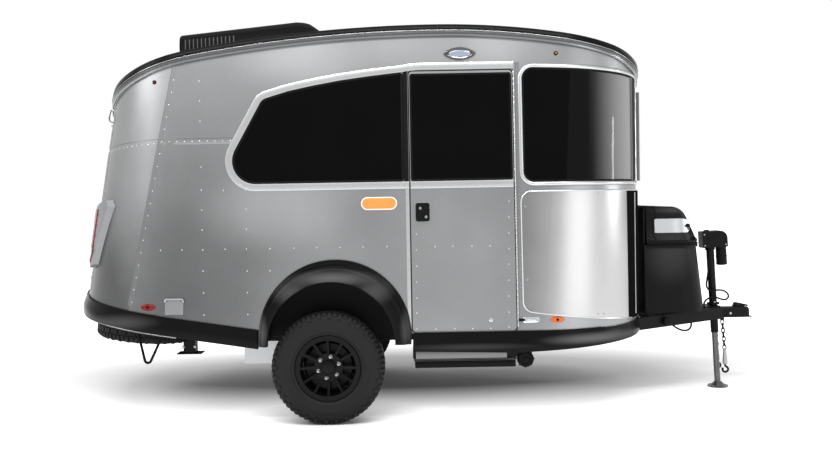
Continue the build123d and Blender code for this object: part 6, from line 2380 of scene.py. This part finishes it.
@dataclass
class Nose:
    """Bottle cover, jack, chains and coupler on the drawbar.

    Attributes:
        lean: degrees that the jack leans back.
        jack: x and z where its axis passes the drawbar.
        chain_y: distance of each safety chain from the centre plane.
        chain_z: heights of the chains' upper and lower ends.
        cover_radius: radius of the bottle cover's front corners.
        cover_rear: its rearmost x.
    """

    lean: float = 2.8
    jack: Flat = (2.188, 0.56)
    chain_y: float = 0.087
    chain_z: Flat = (0.512, 0.292)
    cover_radius: float = 0.19
    cover_rear: float = 1.612

    JACK_CABLE = ((2.146, -0.04, 1.055), (2.143, -0.056, 0.985), (2.137, -0.056, 0.905),
        (2.128, -0.048, 0.825), (2.118, -0.046, 0.762), (2.14, -0.054, 0.728), (2.19, -0.06, 0.733),
        (2.236, -0.058, 0.732), (2.272, -0.052, 0.714), (2.29, -0.048, 0.682), (2.264, -0.05, 0.656),
        (2.226, -0.058, 0.664), (2.186, -0.062, 0.68), (2.14, -0.064, 0.678), (2.102, -0.068, 0.656),
        (2.09, -0.074, 0.618), (2.112, -0.084, 0.584), (2.16, -0.094, 0.562), (2.22, -0.09, 0.548),
        (2.28, -0.072, 0.535))
    PLUG_LEAD = ((1.78, -0.221, 0.548), (1.802, -0.22, 0.516), (1.836, -0.218, 0.484),
        (1.88, -0.21, 0.46), (1.925, -0.198, 0.452), (1.958, -0.188, 0.468), (1.968, -0.182, 0.502),
        (1.966, -0.178, 0.54))

    def build(self) -> None:
        """Finish and dress everything in front of the body."""
        TUB_BLACK_PAINTED_HIGHLIGHT.paint("bottle_cover", "bottle_lid")
        BOTTLE_PAINT.paint("gas_bottles")
        SHROUD.paint("jack_head")
        FRAME_PAINT.paint("jack_tube")
        LEG_ZINC.paint("jack_leg")
        self._cover()
        self._jack()
        self._chains()
        self._coupler()

    def along_jack(self, reach: float, ahead: float = 0.0, across: float = 0.0) -> Vector:
        """Point in the jack's leaning frame.

        Args:
            reach: distance up its axis.
            ahead: distance forward of the axis.
            across: distance to the left of it.

        Returns:
            The point.
        """
        return Vector((self.jack[0], 0.0, self.jack[1])) + turned(-self.lean, "Y") @ Vector(
            (ahead, across, reach))

    def _cover_ring(self, front: float, half: float, rear: float, proud: float) -> list[Flat]:
        """Plan of the cover from its rear right corner round the front to its rear left.

        Args:
            front: its foremost x.
            half: its half width.
            rear: its rearmost x.
            proud: distance out from it.

        Returns:
            The plan.
        """
        nose = [(front + proud, way * (half + proud), self.cover_radius) for way in (-1, 1)]
        return rounded([(rear, -half - proud), *nose, (rear, half + proud)], False, 12)

    def _cover(self) -> None:
        """Rolled edges and screws of the bottle cover, the dress of its lid and the bottles' taps."""
        rear, lid = self.cover_rear, "bottle_lid_body"
        for name, finish, body, plan, roll in (("cover_gasket", RUBBER, "trailer", (2.009, 0.325, rear),
                mm(1089.5, 0, 1089.5, 10, 1092.5, 13, 1098.5, 13, 1099.5, 0)),
                ("cover_flange", COVER_BLACK, "trailer", (2.0105, 0.3258, rear),
                mm(1068, 0, 1070, 8, 1076, 10, 1086, 10, 1088.5, 0)),
                ("lid_edge", COVER_BLACK, lid, (2.0075, 0.3245, 1.618),
                mm(1100.5, 0, 1101.5, 8, 1108, 10, 1118, 8, 1122, 0))):
            rows = [[Vector((x, y, z)) for x, y in self._cover_ring(*plan, proud)] for z, proud in roll]
            Sheetwork().grid(rows).piece(name, finish, body)
        self._lid_dress()
        screws = [(Vector((1.604, y, 1.33)), AHEAD) for y in (-0.26, -0.13, 0.0, 0.13, 0.26)]
        Sheetwork().studs(mm(0, 4, 6, 3.5, 9, 0), screws, 12).piece("cover_back_screws", ZINC)
        tap = mm(0, 0, 18, 0, 18, 20, 12, 24, 12, 40, 26, 42, 28, 52, 24, 60, 0, 62)
        Sheetwork().studs(tap, [(Vector((1.77, y, 1.0)), UP) for y in (-0.158, 0.158)], 16).piece(
            "bottle_taps", CHROME)

    def lid_at(self, along: float, z: float, proud: float, side: Side) -> Vector:
        """Point on the lid's flank: length round its plan from the back, height and stand-off.

        Args:
            along: length round the plan.
            z: height.
            proud: distance off the lid.
            side: which flank.

        Returns:
            The point.
        """
        share = (z - 1.1) / 0.276
        front, half, radius = 2.008 - 0.046 * share, 0.325 - 0.03 * share, self.cover_radius
        straight = front - radius - self.cover_rear
        if along <= straight:
            return Vector((self.cover_rear + along, side.value * (half + proud), z))
        angle = (along - straight) / radius
        return Vector((front - radius + (radius + proud) * sin(angle),
            side.value * (half - radius + (radius + proud) * cos(angle)), z))

    def _lid_dress(self) -> None:
        """Silver panel, hood seam and rubber strap on each flank of the lid."""
        panel, seam, strap = Sheetwork(), Sheetwork(), Sheetwork()
        edges = [(1.178, 1.277)] + [(1.176, 1.279)] * 10 + [(1.176, 1.277), (1.177, 1.274), (1.18, 1.268),
            (1.188, 1.256)]
        line = [(0.052, 1.362), (0.066, 1.33), (0.07, 1.29), (0.046, 1.26), (0.046, 1.17), (0.062, 1.14),
            (0.066, 1.126)]
        for side in Side:
            panel.grid([[self.lid_at(along, low + (high - low) * share, proud, side)
                for share, proud in ((0.0, 0.0003), (0.015, 0.003), (0.985, 0.003), (1.0, 0.0003))]
                for along, (low, high) in zip(stations(0.058, 0.335, 14), edges)])
            seam.strip(line, mm(-4, 0.3, -3, 3.5, 3, 3.5, 4, 0.3), False, side, self.lid_at)
            bow = [self.lid_at(a, z, p, side) for a, z, p in ((0.312, 1.226, 0.01), (0.33, 1.205, 0.013),
                (0.36, 1.16, 0.012), (0.372, 1.135, 0.014))]
            strap.tube(smooth_line(bow, 5), 0.0065, 8)
            ends = [(self.lid_at(a, z, 0.0, side), self.lid_at(a, z, 1.0, side))
                for a, z in ((0.312, 1.226), (0.376, 1.128))]
            strap.studs(mm(0, 22, 10, 21, 13, 14, 11, 4, 13, 0.4),
                [(foot, tip - foot) for foot, tip in ends], 14)
            strap.tube([self.lid_at(a, 1.124, 0.018, side) for a in (0.352, 0.402)], 0.006, 8)
        panel.piece("cover_side_panels", PANEL_SILVER, "bottle_lid_body")
        seam.piece("lid_hood_seam", SHROUD, "bottle_lid_body")
        strap.piece("lid_straps", RUBBER, "bottle_lid_body")

    def _jack(self) -> None:
        """Screws, trim, plug, cable and foot bolts of the jack."""
        axis = self.along_jack(1.0) - self.along_jack(0.0)
        screws, trim = Sheetwork(), Sheetwork()
        for reach, ahead in ((0.508, -0.052), (0.508, 0.104), (0.59, -0.052)):
            screws.studs(mm(0, 3, 4.5, 3, 6.5, 0), [(self.along_jack(reach, ahead, side.value * 0.056),
                side.out) for side in Side], 12)
        screws.studs(mm(0, 10, 9, 10, 9, 0), [(self.along_jack(0.0765, 0.0, side.value * 0.038), axis)
            for side in Side], 6)
        screws.piece("jack_screws", ZINC)
        trim.lathe(mm(28.5, 470, 36, 472, 36, 490, 28.5, 490.5), self.along_jack(0.0), axis, 32)
        for ring in (mm(0, 0, 30, 0, 40.5, 8, 40.5, 18, 39.5, 19),
                mm(39.5, 60, 41.5, 62, 41.5, 70, 39.5, 72)):
            trim.lathe(ring, self.along_jack(0.353, 0.082), axis, 32)
        trim.block(self.along_jack(0.552, 0.026, -0.0565), (0.11, 0.003, 0.05), 0.0014,
            turned(-self.lean, "Y"))
        trim.piece("jack_trim", SHROUD)
        Sheetwork().lathe(mm(20, 0, 20, 6, 15, 10, 0, 11), self.along_jack(0.6125, -0.02), axis,
            24).piece("jack_crank_plug", RUBBER)
        Cable("jack_cable", self.JACK_CABLE, 0.013, 0.96, RUBBER).build()
        x, reach = self.along_jack(-0.549).x, 0.062
        bolts = [(Vector((x + reach * cos(a), reach * sin(a), 0.01)), UP)
            for a in (pi / 4 + pi / 2 * i for i in range(4))]
        Sheetwork().studs(mm(0, 3, 6, 3, 8, 0), bolts, 12).piece("jack_foot_bolts", ZINC, "jack_leg_body")

    def _chains(self) -> None:
        """Safety chains that hang from the drawbar, with their eyes, sleeves and hooks."""
        chain, sleeve, hook, eyes = Sheetwork(), Sheetwork(), Sheetwork(), Sheetwork()
        sheath = mm(0, 0, 9, 1, 11, 12, 16.5, 85, 17, 112, 12, 118, 0, 119)
        bend = ((2.243, 0.186), (2.246, 0.168), (2.262, 0.155), (2.264, 0.136), (2.246, 0.123),
            (2.226, 0.134), (2.224, 0.156))
        links = 7
        for side in Side:
            y = side.value * self.chain_y
            top, low = Vector((2.224, y, self.chain_z[0])), Vector((2.24, y, self.chain_z[1]))
            way = (low - top) / links
            lift = way.normalized()
            first = Vector((0.0, 1.0, 0.0))
            for i in range(links):
                across = first if i % 2 else lift.cross(first)
                chain.tube([top + way * (i + 0.5) + lift * 0.0215 * cos(a) + across * 0.0125 * sin(a)
                    for a in (2 * pi * k / 12 for k in range(12))], 0.0042, 6, closed=True)
            sleeve.lathe(sheath, Vector((2.24, y, 0.3)), Vector((0.02, 0.0, -1.0)), 16)
            hook.tube(smooth_line([(x, y, z) for x, z in bend], 4), 0.008, 8)
            eyes.block((2.224, y, 0.519), (0.03, 0.012, 0.022), 0.004)
        chain.piece("safety_chains", SHROUD)
        sleeve.piece("chain_sleeves", ZINC)
        hook.piece("chain_hooks", FRAME_PAINT)
        eyes.piece("chain_eyes", FRAME_PAINT)

    def _coupler(self) -> None:
        """Latch lever and bolts of the coupler, with the lead and its socket's cap."""
        lever = Sheetwork().block((2.396, 0.0, 0.618), (0.098, 0.034, 0.013), 0.005, turned(13.0, "Y"))
        lever.block((2.352, 0.0, 0.622), (0.036, 0.026, 0.022), 0.008).piece("coupler_lever", FRAME_PAINT)
        bolts = [(Vector((x, side.value * 0.04, 0.556)), side.out) for x in (2.225, 2.3) for side in Side]
        Sheetwork().studs(mm(0, 10, 9, 10, 11, 7, 11, 0), bolts, 6).piece("coupler_bolts", ZINC)
        Cable("plug_lead", self.PLUG_LEAD, 0.014, 0.29, RUBBER).build()
        cap = mm(0, 0, 24, 0, 29, 6, 29, 30, 22, 36, 0, 36)
        Sheetwork().lathe(cap, Vector((1.735, -0.32, 0.547)), Vector((0.42, -0.9, 0.0)), 24).piece(
            "socket_cap", RUBBER)


@dataclass
class Interior:
    """Seats, cushions, cupboards and worktop.

    Attributes:
        bench: rear x, front x and inner half width of the seats.
        seat: height of the seat boxes.
        top: height of the cushions' tops.
        counter: x of the worktop's edge, its height and the height of its underside.
        basin: x and y of the sink's middle.
    """

    bench: Triple = (-2.225, -1.062, 0.422)
    seat: float = 0.975
    top: float = 1.075
    counter: Triple = (1.04, 1.526, 1.4995)
    basin: Flat = (1.26, -0.42)

    def build(self) -> None:
        """Make the seats and finish the fittings."""
        CABINET.paint("galley_unit")
        self._benches()
        self._galley()

    def _plan(self, rear: float, front: float, inset: float) -> list[Flat]:
        """Outline of a seat between two x, bounded by the wall lining.

        Args:
            rear: its rear x.
            front: its front x.
            inset: distance that it stays inside them.

        Returns:
            The outline, as x and distance from the centre plane.
        """
        points = []
        for run in stations(HULL.run_at_x(rear - 0.03, 1.0), HULL.run_at_x(front, 1.0), 12):
            place = HULL.at(run, 1.0, -0.05 - inset)
            points.append((min(max(place.x, rear), front - inset),
                max(abs(place.y), self.bench[2] + 0.05)))
        return [(rear + inset, self.bench[2] + inset), *points, (front - inset, self.bench[2] + inset)]

    def _benches(self) -> None:
        """Seat boxes that follow the wall, with padded cushions on them."""
        rear, front, inner = self.bench
        seat, top, lip = self.seat, self.top, self.seat - 0.02
        base, plinth = Sheetwork(), Sheetwork()
        box = ((1.0, seat - 0.1), (1.0, seat - 0.012), (0.99, seat - 0.002), (0.9, seat))
        edges = stations(rear + 0.02, front, 3)
        for side in Side:
            base.dome(self._plan(rear, front, 0.004), box, side, level)
            for a, b in zip(edges, edges[1:]):
                low = HULL.tail_floor((a + b) / 2) + 0.095
                plinth.block(((a + b) / 2, side.value * (inner + 0.0105), (low + lip) / 2),
                    (b - a - 0.024, 0.018, lip - low), 0.003)
        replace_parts(base.piece("bench_boxes", CABINET), "benches")
        plinth.piece("bench_fronts", CABINET)
        split = (rear + front) / 2
        pad = ((0.9, seat), (0.975, seat + 0.004), (0.998, seat + 0.022), (1.0, seat + 0.05),
            (0.998, top - 0.024), (0.972, top - 0.008), (0.9, top - 0.002), (0.6, top), (0.2, top))
        for side in Side:
            for index, (a, b) in enumerate(((rear, split - 0.004), (split + 0.004, front))):
                cushion = Sheetwork().dome(self._plan(a, b, 0.01), pad, side, level)
                cushion.piece(f"seat_cushion_{side.label}_{index}", CUSHION)

    def _galley(self) -> None:
        """Cupboard doors, pulls, sink and hob of the galley across the nose."""
        doors, pulls, bowl = Sheetwork(), Sheetwork(), Sheetwork()
        for y in stations(-0.72, 0.72, 4):
            doors.block((1.0475, y, 0.985), (0.014, 0.345, 0.6), 0.004)
            doors.block((1.0475, y, 1.375), (0.014, 0.345, 0.15), 0.004)
            for z in (1.33, 1.25):
                pulls.block((1.037, y, z), (0.01, 0.12, 0.01), 0.003)
        doors.piece("galley_doors", CABINET)
        pulls.piece("galley_pulls", CHROME)
        front, z, under = self.counter
        edge = [HULL.at(run, 1.5, -0.056) for run in stations(
            HULL.run_at_x(1.06, 1.5), HULL.run_at_y(0.0, 1.5, 1), 16)]
        outline = [(front, -0.9)] + [(p.x, p.y) for p in edge] + [
            (p.x, -p.y) for p in reversed(edge[:-1])] + [(front, 0.9)]
        top = ((1.0, under), (1.0, z - 0.006), (0.995, z - 0.001), (0.9, z))
        Sheetwork().dome(outline, top, Side.LEFT, level).piece("galley_worktop", WORKTOP)
        x, y = self.basin
        bowl.lathe(mm(150, 0, 155, 3, 148, 5, 142, 1.5, 0, 1.2), Vector((x, y, z)), UP, 40)
        spout = smooth_line([(1.44, y, z), (1.44, y, 1.6), (1.4, y, 1.655), (1.34, y, 1.65),
            (1.32, y, 1.625)], 5)
        bowl.tube(spout, 0.009, 12)
        bowl.studs(mm(75, 0, 80, 3, 72, 10, 40, 12, 0, 13), [(Vector((x, ring, z)), UP)
            for ring in (0.3, 0.52)], 32)
        bowl.piece("galley_sink_and_hob", CHROME)


# ---------------------------------------------------------------- studio
@dataclass
class Softbox:
    """A soft area light that looks at a target.

    Attributes:
        name: name of the light.
        place: where it hangs.
        target: where it looks.
        size: its two lengths.
        power: its power in watts.
    """

    name: str
    place: tuple
    target: tuple
    size: Flat
    power: float

    def build(self) -> None:
        """Add the light."""
        lamp = bpy.data.lights.new(self.name, "AREA")
        lamp.shape = "RECTANGLE"
        lamp.size, lamp.size_y = self.size
        lamp.energy = self.power
        made = placed(self.name, lamp)
        made.location = self.place
        made.rotation_euler = (Vector(self.target) - Vector(self.place)).to_track_quat(
            "-Z", "Y").to_euler()


@dataclass
class Studio:
    """Floor, world, soft lights and camera.

    Attributes:
        eye: place of the camera.
        pitch: degrees that it looks down.
        roll: degrees that it rolls.
        lens: focal length for a sensor 36 mm wide.
        ambient: strength of the world's diffuse light.
    """

    eye: tuple = (-0.04, -7.0, 1.458)
    pitch: float = 1.66
    roll: float = -1.0
    lens: float = 40.37
    ambient: float = 0.5

    def build(self) -> None:
        """Build the whole studio."""
        self._floor()
        self._world()
        for box in (Softbox("overhead", (0.0, -1.0, 6.5), (0.0, 0.0, 1.0), (7.0, 5.0), 110.0),
                Softbox("overhead_strip", (-0.3, -3.4, 4.6), (-0.3, -1.0, 0.8), (6.0, 0.18), 190.0),
                Softbox("rear_high_glow", (-6.3, -2.6, 4.9), (-2.2, -0.6, 1.9), (2.4, 2.4), 95.0),
                Softbox("rear_seam_glow", (-5.9, -4.6, 3.9), (-1.9, -0.95, 1.7), (1.8, 3.0), 24.0),
                Softbox("front_right_glow", (5.2, -5.4, 2.2), (1.2, -0.8, 1.2), (3.4, 4.0), 72.0),
                Softbox("nose_strip", (6.3, -0.72, 2.0), (1.3, -0.8, 1.9), (0.32, 0.9), 42.0)):
            box.build()
        self._camera()
        bpy.context.scene.view_settings.view_transform = "Standard"

    def _floor(self) -> None:
        """Pale floor that glows white by its emission, except in an ellipse under the body and a spot
        under the near wheel: the glow's outline paints where the shadow shows.
        """
        mesh = bpy.data.meshes.new("studio_floor")
        reach = 60.0
        mesh.from_pydata([(-reach, -reach, 0.0), (reach, -reach, 0.0), (reach, reach, 0.0),
            (-reach, reach, 0.0)], [], [(0, 1, 2, 3)])
        shading = Shading("studio_floor")
        shading.tone(shading.noise(0.8), (0.93, 0.93, 0.93), (0.95, 0.95, 0.95))
        shading.feed(Roughness=0.9, Specular_IOR_Level=0.0, Emission_Strength=1.0)
        # Painted shadow's outline: beyond an ellipse under the body and a spot under the near wheel, the
        # floor glows white.
        along, across = (shading.axis(0) + 0.2) * 0.8, (shading.axis(1) - 0.85) * 2.3
        glow_outside_shadow = (along * along + across * across).steep(2.5, 14.0)
        shading.feed(Emission_Color=glow_outside_shadow * shading.distance((-0.62, -1.0, 0.0)).steep(0.15, 0.75))
        mesh.materials.append(shading.material)
        placed("studio_floor", mesh)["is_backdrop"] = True

    def _world(self) -> None:
        """White where it is seen or mirrored, softer where it lights."""
        world = bpy.data.worlds.new("studio")
        world.use_nodes = True
        bpy.context.scene.world = world
        tree = world.node_tree
        path = Graph(tree).node("ShaderNodeLightPath")
        seen, through, mirrored = (Value(tree, path.outputs[f"Is {kind} Ray"])
            for kind in ("Camera", "Transmission", "Glossy"))
        back = tree.nodes["Background"]
        join(tree, (seen + through + mirrored).clamp(0.0, 1.0).spread(self.ambient, 1.0),
            back.inputs["Strength"])
        join(tree, (1.0, 1.0, 1.0, 1.0), back.inputs["Color"])

    def _camera(self) -> None:
        """Camera beside the entry door, a little off level."""
        lens = bpy.data.cameras.new("camera")
        lens.lens = self.lens
        lens.sensor_width = 36.0
        lens.sensor_fit = "HORIZONTAL"
        made = placed("camera", lens)
        turn = Matrix.Rotation(radians(90.0 - self.pitch), 4, "X") @ Matrix.Rotation(
            radians(self.roll), 4, "Z")
        made.matrix_world = Matrix.Translation(Vector(self.eye)) @ turn
        bpy.context.scene.camera = made


# ---------------------------------------------------------------- whole scene
def plain(box: object) -> object:
    """Bounds as plain lists."""
    return [plain(part) if hasattr(part, "__len__") else float(part) for part in box]


def main() -> None:
    """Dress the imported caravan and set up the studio."""
    logging.basicConfig(level=logging.INFO, format="%(message)s")
    packed = plain(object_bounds())
    LOG.info("skin and trim")
    SkinPanels().build()
    RoofTrim().build()
    LOG.info("windows and door")
    Glazing().build()
    DoorDress().build()
    LOG.info("guards and markers")
    NoseGuards().build()
    Markers().build()
    LOG.info("running gear")
    RunningGear().build()
    LOG.info("roof, tail and nose")
    RoofGear().build()
    Tail().build()
    Nose().build()
    LOG.info("inside")
    Interior().build()
    Studio().build()
    {"packed": packed, "dressed": plain(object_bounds())}


if __name__ == "__main__":
    main()
